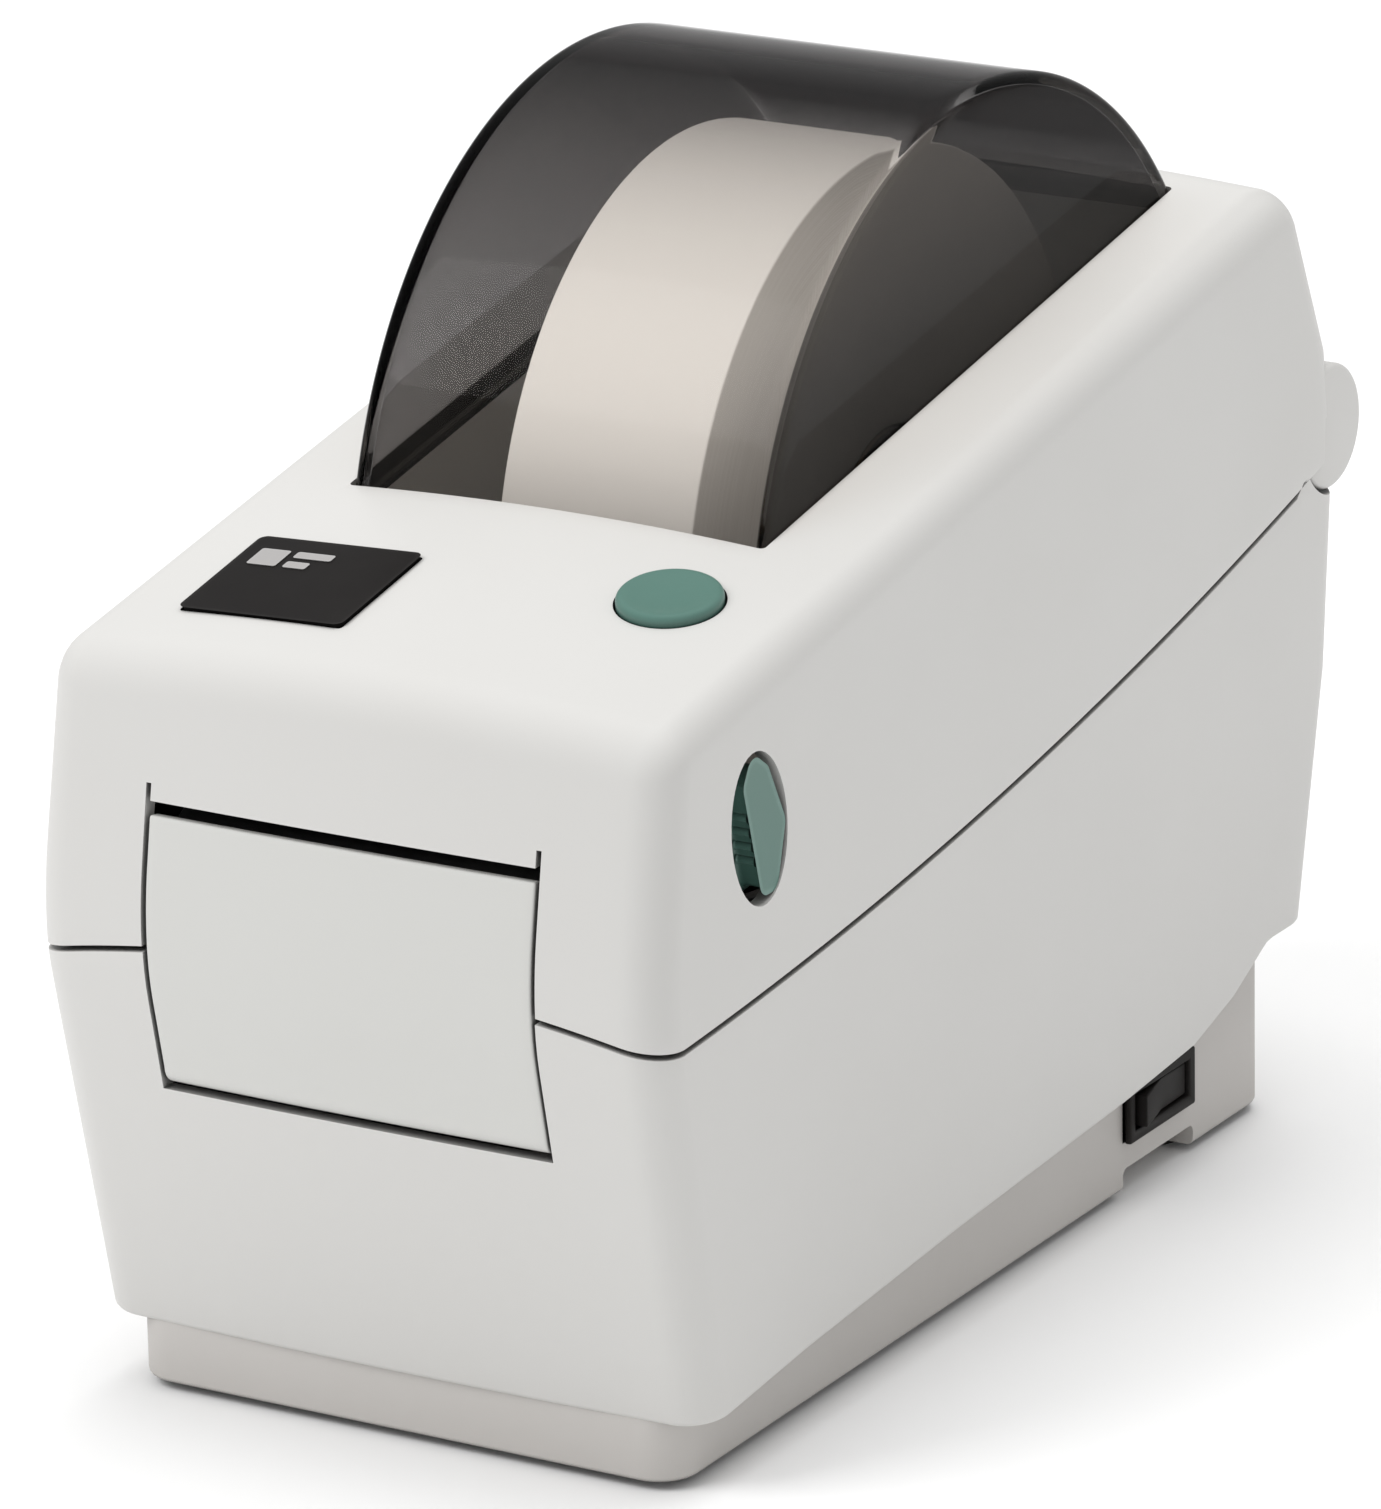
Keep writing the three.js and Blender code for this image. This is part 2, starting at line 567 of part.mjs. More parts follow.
const PRINT_LINE = PLATEN_Z + PLATEN_RADIUS + 2 * CLEARANCE + WEB_THICKNESS;
const HEAD_STRIP = [PLATEN_BACK - 4.5, PLATEN_BACK + 6];
const SINK_TOP = PRINT_LINE + 4.6;
const SINK_REAR = PLATEN_BACK + 9.5;

const headStrip = box(
  1 - MEDIA_WIDTH / 2, MEDIA_WIDTH / 2 - 1, ...HEAD_STRIP, PRINT_LINE, PRINT_LINE + 1.2);
addMesh('print_head', headStrip, 'ceramic');

function heatSink() {
  const base = PRINT_LINE + 1.2 + CLEARANCE;
  let sink = box(-MEDIA_WIDTH / 2, MEDIA_WIDTH / 2, HEAD_STRIP[0] - 0.5, SINK_REAR, base, SINK_TOP);
  for (let y = HEAD_STRIP[0] + 1.5; y < SINK_REAR - 2; y += 3) {
    sink = sink.subtract(box(-FAR, FAR, y, y + 1.4, base + 1.4, FAR));
  }
  return sink;
}
addMesh('heat_sink', heatSink(), 'aluminium');

function headBracket() {
  const under = SINK_TOP + CLEARANCE;
  const plate = box(-HEAD_HALF, HEAD_HALF, HEAD_STRIP[0] - 0.5, HEAD_PIVOT[0] + 2, under, under + 1.5);
  const roll = rod(-HEAD_HALF, HEAD_HALF, ...HEAD_PIVOT, HEAD_PIN_RADIUS + 1.2, 20);
  const pin = rod(-HEAD_EAR - 2.6, HEAD_EAR + 2.6, ...HEAD_PIVOT, HEAD_PIN_RADIUS, 16);
  return union(plate, roll, pin);
}
addMesh('head_bracket', headBracket(), 'zinc');

class Coil extends THREE.Curve {
  constructor(radius, height, turns) {
    super();
    this.radius = radius;
    this.height = height;
    this.turns = turns;
  }

  getPoint(t) {
    const angle = 2 * Math.PI * this.turns * t;
    return new THREE.Vector3(this.radius * Math.cos(angle), this.radius * Math.sin(angle), this.height * t);
  }
}

// Coil spring standing on (x, y, z): a small hexagonal wire along a helix.
function coilSpring(x, y, z, radius, height, turns) {
  const wire = new THREE.Shape(arc(0, 0, 0.4, 0, 300, 5).map(([a, b]) => new THREE.Vector2(a, b)));
  const geometry = new THREE.ExtrudeGeometry(wire, {
    steps: turns * 7,
    extrudePath: new Coil(radius, height, turns),
    bevelEnabled: false,
  });
  geometry.translate(x, y, z);
  return solid(geometry);
}

const SPRING_X = MEDIA_WIDTH / 4;
const SPRING_Y = PLATEN_BACK + 2;
const SPRING_FOOT = SINK_TOP + CLEARANCE + 1.5 + 0.8;
const SPRING_ROOM = topAt(SPRING_Y) - CROWN * (SPRING_X / HALF_WIDTH) ** 2 - SHELL_WALL - 1.6 - SPRING_FOOT;
for (const [word, side] of SIDES) {
  const spring = coilSpring(side * SPRING_X, SPRING_Y, SPRING_FOOT, 3, SPRING_ROOM, 5);
  addMesh(`head_spring_${word}`, spring, 'steel');
}

// ---------------------------------------------------------------------------------------
// Latch: a shaft across the lid with a lever at each end and two hooks
// ---------------------------------------------------------------------------------------

const HOOK_WIDTH = 3;
const shaftBore = (x0, x1) => rod(x0, x1, ...LATCH, LATCH_SHAFT_RADIUS + RUNNING);
addMesh('latch_shaft', rod(-SHAFT_END, SHAFT_END, ...LATCH, LATCH_SHAFT_RADIUS), 'steel');

const leverOutline = () => roundedOutline([
  [LATCH[0] - 1.4, LATCH[1] - 2.8],
  [LATCH[0] + 0.4, LATCH[1] + 0.4],
  [LATCH[0] + 3.6, LATCH[1] - 1.9],
  [LATCH[0] + 7.8, LATCH[1] - 10.2],
  [LATCH[0] + 5.6, LATCH[1] - 18.4],
  [LATCH[0] + 2.8, LATCH[1] - 18.4],
], 1.2, 3);

// The hook leans back past the drive gears, and its grip stands just in front of the stud.
const hookOutline = () => [
  ...arc(...LATCH, 4.2, 170, 0, 7),
  [LATCH[0] + 3.2, LATCH[1] - 8],
  [LATCH[0] + 5, STUD[1] - 2.6],
  [STUD[0] - STUD_RADIUS - 0.4, STUD[1] - 2.6],
  [STUD[0] - STUD_RADIUS - 0.4, STUD[1] - 3.6],
  [LATCH[0] + 5, STUD[1] - 6.4],
  [LATCH[0] + 1.4, STUD[1] - 5.2],
];

for (const [word, side] of SIDES) {
  const bossSpan = sided(side, LEVER_X[0], SHAFT_END + CLEARANCE);
  const boss = rod(...bossSpan, ...LATCH, LATCH_SHAFT_RADIUS + 1.6);
  const lever = sideSlab(leverOutline(), ...sided(side, ...LEVER_X)).add(boss)
    .subtract(shaftBore(...sided(side, LEVER_X[0] - 1, SHAFT_END + CLEARANCE)));
  addMesh(`latch_lever_${word}`, lever, 'green');
  const hook = sideSlab(hookOutline(), ...sided(side, HOOK_X, HOOK_X + HOOK_WIDTH))
    .subtract(shaftBore(-FAR, FAR));
  addMesh(`latch_hook_${word}`, hook, 'black');
}

// ---------------------------------------------------------------------------------------
// Base housing, pan and the fixed pieces in them
// ---------------------------------------------------------------------------------------

const panOutline = (grow) => roundedOutline(
  rectangle(-PAN_HALF - grow, PAN_HALF + grow, PAN_FRONT - grow, PAN_REAR + grow), 6 + grow, 4);

// Sockets on the board: the two ends across the machine, and the height.
const connectors = {
  jack: [PAN_HALF - 26, PAN_HALF - 16.5, 11],
  usb: [-3, 9, 11],
  serial: [5.5 - PAN_HALF, 36.5 - PAN_HALF, 12.5],
};
const CONNECTOR_FOOT = BOARD_Z + BOARD_THICKNESS + CLEARANCE;

function baseHousing() {
  const below = (offset) => outside.subtract(aboveParting(offset));
  let base = skin.subtract(aboveParting(-PARTING_GAP / 2)).intersect(aboveSkirt(0));
  const ledge = form(SHELL_WALL / 2).intersect(aboveSkirt(0.3)).subtract(aboveSkirt(2.3));
  base = base.add(ledge).subtract(planSlab(panOutline(0.4), -5, PAN_HEIGHT + 1));
  const cradle = rod(-FAR, FAR, HINGE_Y, HINGE_Z, BARREL_RADIUS + 0.6, 32);
  base = base.subtract(cradle);
  base = base.subtract(box(-FAR, FAR, HINGE_Y - BARREL_RADIUS - 1, FAR, HINGE_Z - 5.6, FAR));
  for (const [, side] of SIDES) {
    const span = sided(side, ...KNUCKLE);
    const knuckle = rod(...span, HINGE_Y, HINGE_Z, KNUCKLE_RADIUS, 32)
      .add(box(...span, HINGE_Y - 4.5, HINGE_Y + 2.4, HINGE_Z - 18, HINGE_Z));
    base = base.add(knuckle);
    const pinBore = sided(side, KNUCKLE[0] + 2, FAR);
    base = base.subtract(rod(...pinBore, HINGE_Y, HINGE_Z, HINGE_PIN_RADIUS + RUNNING));
    const ear = box(...sided(side, DOOR_HALF + DOOR_GAP, DOOR_HALF + 3.4), 2, DOOR_PIVOT[0] + 3.4,
      DOOR_PIVOT[1] - 4, DOOR_PIVOT[1] + 4);
    const earRoom = box(-FAR, FAR, -5, 3.8, 0, FAR).intersect(inside);
    base = base.add(ear.intersect(below(-PARTING_GAP)).subtract(earRoom));
    const columnSpan = sided(side, PAN_HALF - PAN_WALL - 5.6, PAN_HALF - PAN_WALL - 0.4);
    const bridgeSpan = sided(side, PAN_HALF - PAN_WALL - 5.6, HALF_WIDTH);
    for (const y of SCREWS_Y) {
      const column = box(...columnSpan, y - 5, y + 5, SCREW_BOSS_TOP + 0.4, PAN_HEIGHT + 7);
      const bridge = box(...bridgeSpan, y - 5, y + 5, PAN_HEIGHT + 1, PAN_HEIGHT + 7);
      base = base.add(column.add(bridge.intersect(form(1))));
      const bore = post(side * SCREW_X, y, SCREW_BOSS_TOP, SCREW_END + 2, SCREW_RADIUS + CLEARANCE, 12);
      base = base.subtract(bore);
    }
  }
  base = base.subtract(box(-DOOR_HALF - DOOR_GAP, DOOR_HALF + DOOR_GAP, -5, 12,
    DOOR_PIVOT[1] - DOOR_KNUCKLE - 0.4, FAR));
  const doorBore = [-DOOR_HALF - 2.6, DOOR_HALF + 2.6];
  base = base.subtract(rod(...doorBore, ...DOOR_PIVOT, DOOR_PIN_RADIUS + RUNNING, 16));
  for (const [x0, x1, height] of Object.values(connectors)) {
    base = base.subtract(box(x0 - 0.4, x1 + 0.4, HINGE_Y - 12, FAR,
      CONNECTOR_FOOT - 0.4, CONNECTOR_FOOT + height + 0.4));
  }
  return base;
}

addMesh('base_housing', baseHousing(), 'white');

function basePan() {
  const body = planSlab(panOutline(0), PAN_LIFT, PAN_HEIGHT);
  const hollow = planSlab(panOutline(-PAN_WALL), PAN_LIFT + 2.4, FAR);
  let pan = body.subtract(hollow);
  const relief = box(-FAR, FAR, ROLL_Y + 17, ROLL_Y + 39, 0, PAN_LIFT + 3.3);
  const reliefRoof = box(-PAN_HALF, PAN_HALF, ROLL_Y + 15, ROLL_Y + 41, PAN_LIFT + 2, PAN_LIFT + 5.4);
  pan = pan.add(reliefRoof).subtract(relief);
  for (const [, side] of SIDES) {
    for (const y of SCREWS_Y) {
      pan = pan.add(post(side * SCREW_X, y, PAN_LIFT + 2, SCREW_BOSS_TOP, 4.4, 20));
      pan = pan.subtract(post(side * SCREW_X, y, -5, PAN_LIFT + 3, 3.2, 20));
      pan = pan.subtract(post(side * SCREW_X, y, -5, 20, SCREW_RADIUS + CLEARANCE, 12));
    }
    for (const y of FEET_Y) {
      pan = pan.subtract(post(side * FOOT_X, y, -5, PAN_LIFT + 1.1, FOOT_RADIUS + CLEARANCE, 24));
    }
    for (const y of [BOARD_BACK - 36, BOARD_BACK - 14]) {
      pan = pan.add(post(side * (PAN_HALF - 16), y, PAN_LIFT + 2, BOARD_Z - CLEARANCE, 3, 16));
    }
  }
  pan = pan.subtract(box(PAN_HALF - 5, PAN_HALF + 5, SWITCH_Y[0] + 0.8, SWITCH_Y[1] - 0.8,
    SWITCH_Z[0] + 0.8, SWITCH_Z[1] - 0.8));
  return pan.subtract(box(-FAR, FAR, PAN_REAR - PAN_WALL - 1, FAR, PAN_HEIGHT - 4, FAR));
}
addMesh('base_pan', basePan(), 'panGrey');

for (const [end, y] of [['front', FEET_Y[0]], ['rear', FEET_Y[1]]]) {
  for (const [word, side] of SIDES) {
    const foot = post(side * FOOT_X, y, 0, PAN_LIFT + 0.8, FOOT_RADIUS, 24);
    addMesh(`foot_${end}_${word}`, foot, 'rubber');
  }
}

// Screw from below: a head in its recess and a plain shank.
for (const [end, y] of [['front', SCREWS_Y[0]], ['rear', SCREWS_Y[1]]]) {
  for (const [word, side] of SIDES) {
    const shank = post(side * SCREW_X, y, PAN_LIFT + 0.8, SCREW_END, SCREW_RADIUS, 12);
    const head = post(side * SCREW_X, y, PAN_LIFT + 0.7, PAN_LIFT + 2.7, 2.8, 20);
    const drive = post(side * SCREW_X, y, 0, PAN_LIFT + 1.8, 1.2, 6);
    addMesh(`case_screw_${end}_${word}`, shank.add(head).subtract(drive), 'steel');
  }
}

// Media bay: a round-bottomed tub for the roll, with a deck that leads the web to the platen.
const DECK_FRONT = [PLATEN_BACK + 9.5, PLATEN_Z - 9];
const deckRearZ = BASE_HEIGHT - 6.8;
const arcAngle = (z) => THREE.MathUtils.radToDeg(Math.asin((ROLL_Z - z) / BAY_RADIUS));
const floorArc = (radius, steps) => arc(
  ROLL_Y, ROLL_Z, radius, 180 + arcAngle(deckRearZ), 360 - arcAngle(BASE_HEIGHT), steps);

function mediaBay() {
  const upper = [DECK_FRONT, ...floorArc(BAY_RADIUS, 18)];
  const lower = [[DECK_FRONT[0], DECK_FRONT[1] - BAY_WALL], ...floorArc(BAY_RADIUS + BAY_WALL, 18)];
  let bay = sideSlab([...lower, ...upper.reverse()], -BAY_OUTER_HALF, BAY_OUTER_HALF);
  const wallTop = [
    [ROLL_Y + 52, partingAt(ROLL_Y + 52) - 3],
    [ROLL_Y, partingAt(ROLL_Y) - 3],
    [DECK_LENGTH + 8, partingAt(DECK_LENGTH + 8) - 1],
    [DECK_FRONT[0], BASE_HEIGHT + 9],
  ];
  for (const [, side] of SIDES) {
    bay = bay.add(sideSlab([...lower, ...wallTop], ...sided(side, BAY_HALF, BAY_OUTER_HALF)));
    const flange = [
      ...wallTop.slice(0, 3),
      ...wallTop.slice(0, 3).reverse().map(([y, z]) => [y, z - 1.6]),
    ];
    bay = bay.add(sideSlab(flange, ...sided(side, BAY_HALF, HALF_WIDTH - SHELL_WALL - 1.2)));
    const track = sided(side, HOLDER_REST + HOLDER_PLATE / 2 - 5, BAY_HALF - 0.4);
    bay = bay.subtract(box(...track, ROLL_Y - HOLDER_FOOT - 0.5, ROLL_Y + HOLDER_FOOT + 0.5,
      0, ROLL_Z - BAY_RADIUS + 3));
  }
  return bay;
}

// ---------------------------------------------------------------------------------------
// Roll, its holders and the pinion that keeps them centred
// ---------------------------------------------------------------------------------------

const HOLDER_REST = ROLL_WIDTH / 2 + 0.4;
const RACK_RADIUS = RACK_MODULE * RACK_TEETH / 2;
const RACK_BACK = 4.75;            // pitch line of the rack to its back
const RACK_Z = [ROLL_Z - BAY_RADIUS - BAY_WALL - 4.8, ROLL_Z - BAY_RADIUS - BAY_WALL - 0.8];

addMesh('media_bay', mediaBay(), 'bay');

// Spur gear outline with straight-sided teeth, one tooth centred on the angle phase (degrees).
function gearOutline(teeth, module, phase) {
  const radius = module * teeth / 2;
  const half = 90 / teeth - THREE.MathUtils.radToDeg(BACKLASH / 4 / radius);
  const corners = [[-1.3, radius - 1.25 * module], [-0.5, radius + 0.9 * module],
    [0.5, radius + 0.9 * module], [1.3, radius - 1.25 * module]];
  return Array.from({ length: teeth }, (_, i) => i).flatMap((i) => corners.map(([share, r]) => {
    const angle = THREE.MathUtils.degToRad(phase + 360 * i / teeth + share * half);
    return [r * Math.cos(angle), r * Math.sin(angle)];
  }));
}

// Gear on the X line through centre, between x0 and x1.
function spurGear(teeth, [y, z], phase, x0, x1, bore) {
  const outline = gearOutline(teeth, GEAR_MODULE, phase).map(([a, b]) => [y + a, z + b]);
  return sideSlab(outline, x0, x1).subtract(rod(x0 - 1, x1 + 1, y, z, bore, 20));
}

// Rack bar that meets the holder pinion; its teeth face the middle.
function rack(side) {
  const pitch = Math.PI * RACK_MODULE;
  const base = RACK_RADIUS + 1.25 * RACK_MODULE;
  const tip = RACK_RADIUS - 0.9 * RACK_MODULE;
  const half = pitch / 4 - BACKLASH / 4;
  const teeth = Array.from({ length: 9 }, (_, i) => (i - 6.5) * pitch).flatMap((x) => [
    [x - 1.3 * half, base], [x - 0.5 * half, tip], [x + 0.5 * half, tip], [x + 1.3 * half, base],
  ]);
  const back = RACK_RADIUS + RACK_BACK;
  const end = -7.5 * pitch;
  const outline = [...teeth, [HOLDER_REST, base], [HOLDER_REST, back], [end, back], [end, base]];
  const turned = outline.map(([x, y]) => [side * x, ROLL_Y + side * y]);
  return planSlab(turned, ...RACK_Z);
}

// Holder: an upright plate with a hub in the roll core, a foot through the bay floor and a rack.
function rollHolder(side) {
  const plate = [
    [ROLL_Y - HOLDER_FOOT, RACK_Z[0]],
    [ROLL_Y + HOLDER_FOOT, RACK_Z[0]],
    [ROLL_Y + HOLDER_FOOT, ROLL_Z - BAY_RADIUS + 8],
    [ROLL_Y + 16, ROLL_Z - 18],
    ...arc(ROLL_Y, ROLL_Z, 15, -10, 190, 14),
    [ROLL_Y - 16, ROLL_Z - 18],
    [ROLL_Y - HOLDER_FOOT, ROLL_Z - BAY_RADIUS + 8],
  ];
  const hub = new THREE.CylinderGeometry(HUB_RADIUS - 1.4, HUB_RADIUS, 4.4, 28);
  hub.rotateZ(side * Math.PI / 2);
  hub.translate(side * (HOLDER_REST - 2), ROLL_Y, ROLL_Z);
  const reach = HOLDER_REST + HOLDER_PLATE;
  const linkSpan = sided(side, 0, RACK_RADIUS + RACK_BACK).map((y) => ROLL_Y + y);
  const link = box(...sided(side, HOLDER_REST - 1, reach), ...linkSpan, ...RACK_Z);
  return union(sideSlab(plate, ...sided(side, HOLDER_REST, reach)), solid(hub), link, rack(side));
}

const CORE_BORE = CORE_RADIUS - CORE_WALL;
const HUB_RADIUS = CORE_BORE - 0.5;
addMesh('roll_holder_left', rollHolder(-1), 'bay');
addMesh('roll_holder_right', rollHolder(1), 'bay');

const holderPinion = planSlab(
  gearOutline(RACK_TEETH, RACK_MODULE, 90).map(([x, y]) => [x, ROLL_Y + y]), ...RACK_Z)
  .subtract(post(0, ROLL_Y, 0, FAR, 2, 16));
addMesh('holder_pinion', holderPinion, 'gearWhite');
addMesh('pinion_stud', post(0, ROLL_Y, PAN_LIFT + 2.4 + CLEARANCE, RACK_Z[1] + 0.4, 1.7, 16), 'steel');

function ring(outer, inner, sides) {
  return rod(-ROLL_WIDTH / 2, ROLL_WIDTH / 2, ROLL_Y, ROLL_Z, outer, sides)
    .subtract(rod(-ROLL_WIDTH, ROLL_WIDTH, ROLL_Y, ROLL_Z, inner, 32));
}
addMesh('label_roll', ring(ROLL_RADIUS, CORE_RADIUS + CLEARANCE, 56), 'paper');
addMesh('roll_core', ring(CORE_RADIUS, CORE_BORE, 32), 'card');

// Web of labels: leaves the lower front of the roll and runs straight to the print line.
function labelWeb() {
  const over = PLATEN_RADIUS + CLEARANCE;
  const under = ROLL_RADIUS + CLEARANCE + WEB_THICKNESS;
  const dy = ROLL_Y - PLATEN[0];
  const dz = ROLL_Z - PLATEN[1];
  const distance = Math.hypot(dy, dz);
  const lean = Math.atan2(dz, dy) - Math.asin((over + under) / distance);
  const run = Math.sqrt(distance ** 2 - (over + under) ** 2) - 1;
  const wrap = arc(...PLATEN, over, 90, 90 + THREE.MathUtils.radToDeg(lean), 4);
  const leave = wrap[wrap.length - 1];
  const end = [leave[0] + run * Math.cos(lean), leave[1] + run * Math.sin(lean)];
  const lower = [[PLATEN[0] - 5, wrap[0][1]], ...wrap, end];
  const upper = lower.map(([y, z]) => [y, z + WEB_THICKNESS]).reverse();
  return sideSlab([...lower, ...upper], -ROLL_WIDTH / 2, ROLL_WIDTH / 2);
}
addMesh('label_web', labelWeb(), 'paper');

// ---------------------------------------------------------------------------------------
// Platen and its drive, on the left side
// ---------------------------------------------------------------------------------------

const GEAR_SPAN = [-GEAR_X - GEAR_WIDTH, -GEAR_X];
const idlerPhase = IDLER_BEARING + 180 + 180 / IDLER_TEETH;
const pinionPhase = (() => {
  const toothAhead = (PINION_BEARING - idlerPhase) / (360 / IDLER_TEETH);
  const offset = (toothAhead - Math.round(toothAhead)) * 360 / IDLER_TEETH;
  return PINION_BEARING + 180 + 180 / PINION_TEETH + offset * IDLER_TEETH / PINION_TEETH;
})();

const platenEnd = GEAR_X + GEAR_WIDTH + 0.8;
addMesh('platen_shaft', rod(-platenEnd, BEARING_X + BEARING_WIDTH + 1.5, ...PLATEN, SHAFT_RADIUS), 'steel');
addMesh('platen_roller', rod(-MEDIA_WIDTH / 2 - 1, MEDIA_WIDTH / 2 + 1, ...PLATEN, PLATEN_RADIUS, 40)
  .subtract(rod(-FAR, FAR, ...PLATEN, SHAFT_RADIUS + CLEARANCE)), 'rubber');
addMesh('platen_gear', spurGear(PLATEN_TEETH, PLATEN, IDLER_BEARING, ...GEAR_SPAN, SHAFT_RADIUS + RUNNING),
  'gearWhite');
addMesh('idler_gear', spurGear(IDLER_TEETH, IDLER, idlerPhase, ...GEAR_SPAN, SHAFT_RADIUS), 'gearWhite');
addMesh('motor_pinion', spurGear(PINION_TEETH, PINION, pinionPhase, ...GEAR_SPAN, 1.8), 'gearWhite');

const BRACKET_SPAN = [-GEAR_X + 0.8, -BAY_OUTER_HALF - CLEARANCE];
const MOTOR_FACE = -BAY_OUTER_HALF;
addMesh('motor_shaft', rod(GEAR_SPAN[0] - 0.5, MOTOR_FACE - CLEARANCE, ...PINION, 1.5, 16), 'steel');
const idlerStudSpan = [GEAR_SPAN[0] - 0.5, BRACKET_SPAN[0] - CLEARANCE];
addMesh('idler_stud', rod(...idlerStudSpan, ...IDLER, SHAFT_RADIUS - RUNNING, 16), 'steel');
addMesh('stepper_motor', rod(MOTOR_FACE, MOTOR_FACE + MOTOR_LENGTH, ...PINION, MOTOR_RADIUS, 36), 'zinc');

function motorBracket() {
  const outline = roundedOutline([
    [PINION[0] - 15, PINION[1] - 12],
    [PINION[0] + 15, PINION[1] - 12],
    [PINION[0] + 15, PINION[1] + 13],
    [IDLER[0] + 6, IDLER[1] + 4],
    [IDLER[0] - 6, IDLER[1] + 4],
  ], 3, 3);
  return sideSlab(outline, ...BRACKET_SPAN).subtract(rod(-FAR, 0, ...PINION, 4, 20));
}
addMesh('motor_bracket', motorBracket(), 'zinc');

// Bearing plate beside the bay: carries the platen and the stud that the latch hook grips.
for (const [word, side] of SIDES) {
  const outline = roundedOutline([
    [PLATEN[0] - 6, PLATEN[1] - 10],
    [STUD[0] + 8, PLATEN[1] - 10],
    [STUD[0] + 3.5, STUD[1] + 3.5],
    [PLATEN[0] - 6, PLATEN[1] + 6],
  ], 2.4, 3);
  const plate = sideSlab(outline, ...sided(side, BEARING_X, BEARING_X + BEARING_WIDTH))
    .add(rod(...sided(side, BEARING_X, HOOK_X + HOOK_WIDTH + 0.4), ...STUD, STUD_RADIUS, 16))
    .subtract(rod(-FAR, FAR, ...PLATEN, SHAFT_RADIUS + RUNNING));
  addMesh(`platen_bearing_${word}`, plate, 'black');
}

const SENSOR_Y = PLATEN_BACK + 22;
const deckAt = (y) => DECK_FRONT[1] + (deckRearZ - DECK_FRONT[1]) * (y - DECK_FRONT[0])
  / (floorArc(BAY_RADIUS, 18)[0][0] - DECK_FRONT[0]);
addMesh('media_sensor', box(-6, 6, SENSOR_Y, SENSOR_Y + 8, deckAt(SENSOR_Y) + CLEARANCE,
  deckAt(SENSOR_Y) + 3), 'black');

// ---------------------------------------------------------------------------------------
// Front door
// ---------------------------------------------------------------------------------------

function frontDoor() {
  const panel = skin.intersect(box(-DOOR_HALF, DOOR_HALF, -5, 9, DOOR_PIVOT[1], DOOR_TOP));
  const knuckle = rod(-DOOR_HALF, DOOR_HALF, ...DOOR_PIVOT, DOOR_KNUCKLE, 20);
  const tab = box(-DOOR_HALF, DOOR_HALF, DOOR_PIVOT[0] - 3.4, DOOR_PIVOT[0],
    DOOR_PIVOT[1], DOOR_PIVOT[1] + 2.5).intersect(outside);
  const bore = rod(-FAR, FAR, ...DOOR_PIVOT, DOOR_PIN_RADIUS + RUNNING, 16);
  return union(panel, knuckle, tab).subtract(bore);
}
addMesh('front_door', frontDoor(), 'lightGrey');
addMesh('door_pin', rod(-DOOR_HALF - 2.3, DOOR_HALF + 2.3, ...DOOR_PIVOT, DOOR_PIN_RADIUS, 16), 'steel');

for (const [word, side] of SIDES) {
  const ends = sided(side, KNUCKLE[0] + 2 + CLEARANCE, BARREL_END - 1 - CLEARANCE);
  addMesh(`hinge_pin_${word}`, rod(...ends, HINGE_Y, HINGE_Z, HINGE_PIN_RADIUS, 16), 'steel');
}

// ---------------------------------------------------------------------------------------
// Power rocker
// ---------------------------------------------------------------------------------------

const SWITCH_FACE = PAN_HALF + 1.4;
const SWITCH_MID = [(SWITCH_Y[0] + SWITCH_Y[1]) / 2, (SWITCH_Z[0] + SWITCH_Z[1]) / 2];
const ROCKER_HALF = (SWITCH_Y[1] - SWITCH_Y[0]) / 2 - 2;
const ROCKER_TILT = 7;

function switchFrame() {
  const rim = box(PAN_HALF + CLEARANCE, SWITCH_FACE, ...SWITCH_Y, ...SWITCH_Z);
  const body = box(PAN_HALF - 12, PAN_HALF + CLEARANCE, SWITCH_Y[0] + 1.1, SWITCH_Y[1] - 1.1,
    SWITCH_Z[0] + 1.1, SWITCH_Z[1] - 1.1);
  const well = box(PAN_HALF - 6, FAR, SWITCH_MID[0] - ROCKER_HALF - 0.4, SWITCH_MID[0] + ROCKER_HALF + 0.4,
    SWITCH_Z[0] + 1.7, SWITCH_Z[1] - 1.7);
  return rim.add(body).subtract(well);
}
addMesh('switch_frame', switchFrame(), 'black');

// Rocker: seen from above it is a shallow V that turns on an upright axis.
const rockerPlace = new THREE.Group();
rockerPlace.position.set(PAN_HALF - 1.6, SWITCH_MID[0], 0);
rockerPlace.rotation.z = THREE.MathUtils.degToRad(ROCKER_TILT);
printer.add(rockerPlace);
const rockerOutline = [
  [-2.4, -3], [0.6, -ROCKER_HALF + 0.5], [3.4, -ROCKER_HALF + 0.3], [2.6, 0],
  [3.4, ROCKER_HALF - 0.3], [0.6, ROCKER_HALF - 0.5], [-2.4, 3],
];
addMesh('power_rocker', planSlab(rockerOutline, SWITCH_Z[0] + 2, SWITCH_Z[1] - 2), 'black', rockerPlace);

// ---------------------------------------------------------------------------------------
// Main board and connectors
// ---------------------------------------------------------------------------------------

const BOARD_HALF = PAN_HALF - PAN_WALL - 1.6;
addMesh('main_board', box(-BOARD_HALF, BOARD_HALF, BOARD_BACK - 42, BOARD_BACK,
  BOARD_Z, BOARD_Z + BOARD_THICKNESS), 'board');

// Connector body with its mouth flush with the rear wall.
function connectorBody([x0, x1, height]) {
  return box(x0, x1, BOARD_BACK - 14, HINGE_Y - 6.4, CONNECTOR_FOOT, CONNECTOR_FOOT + height);
}

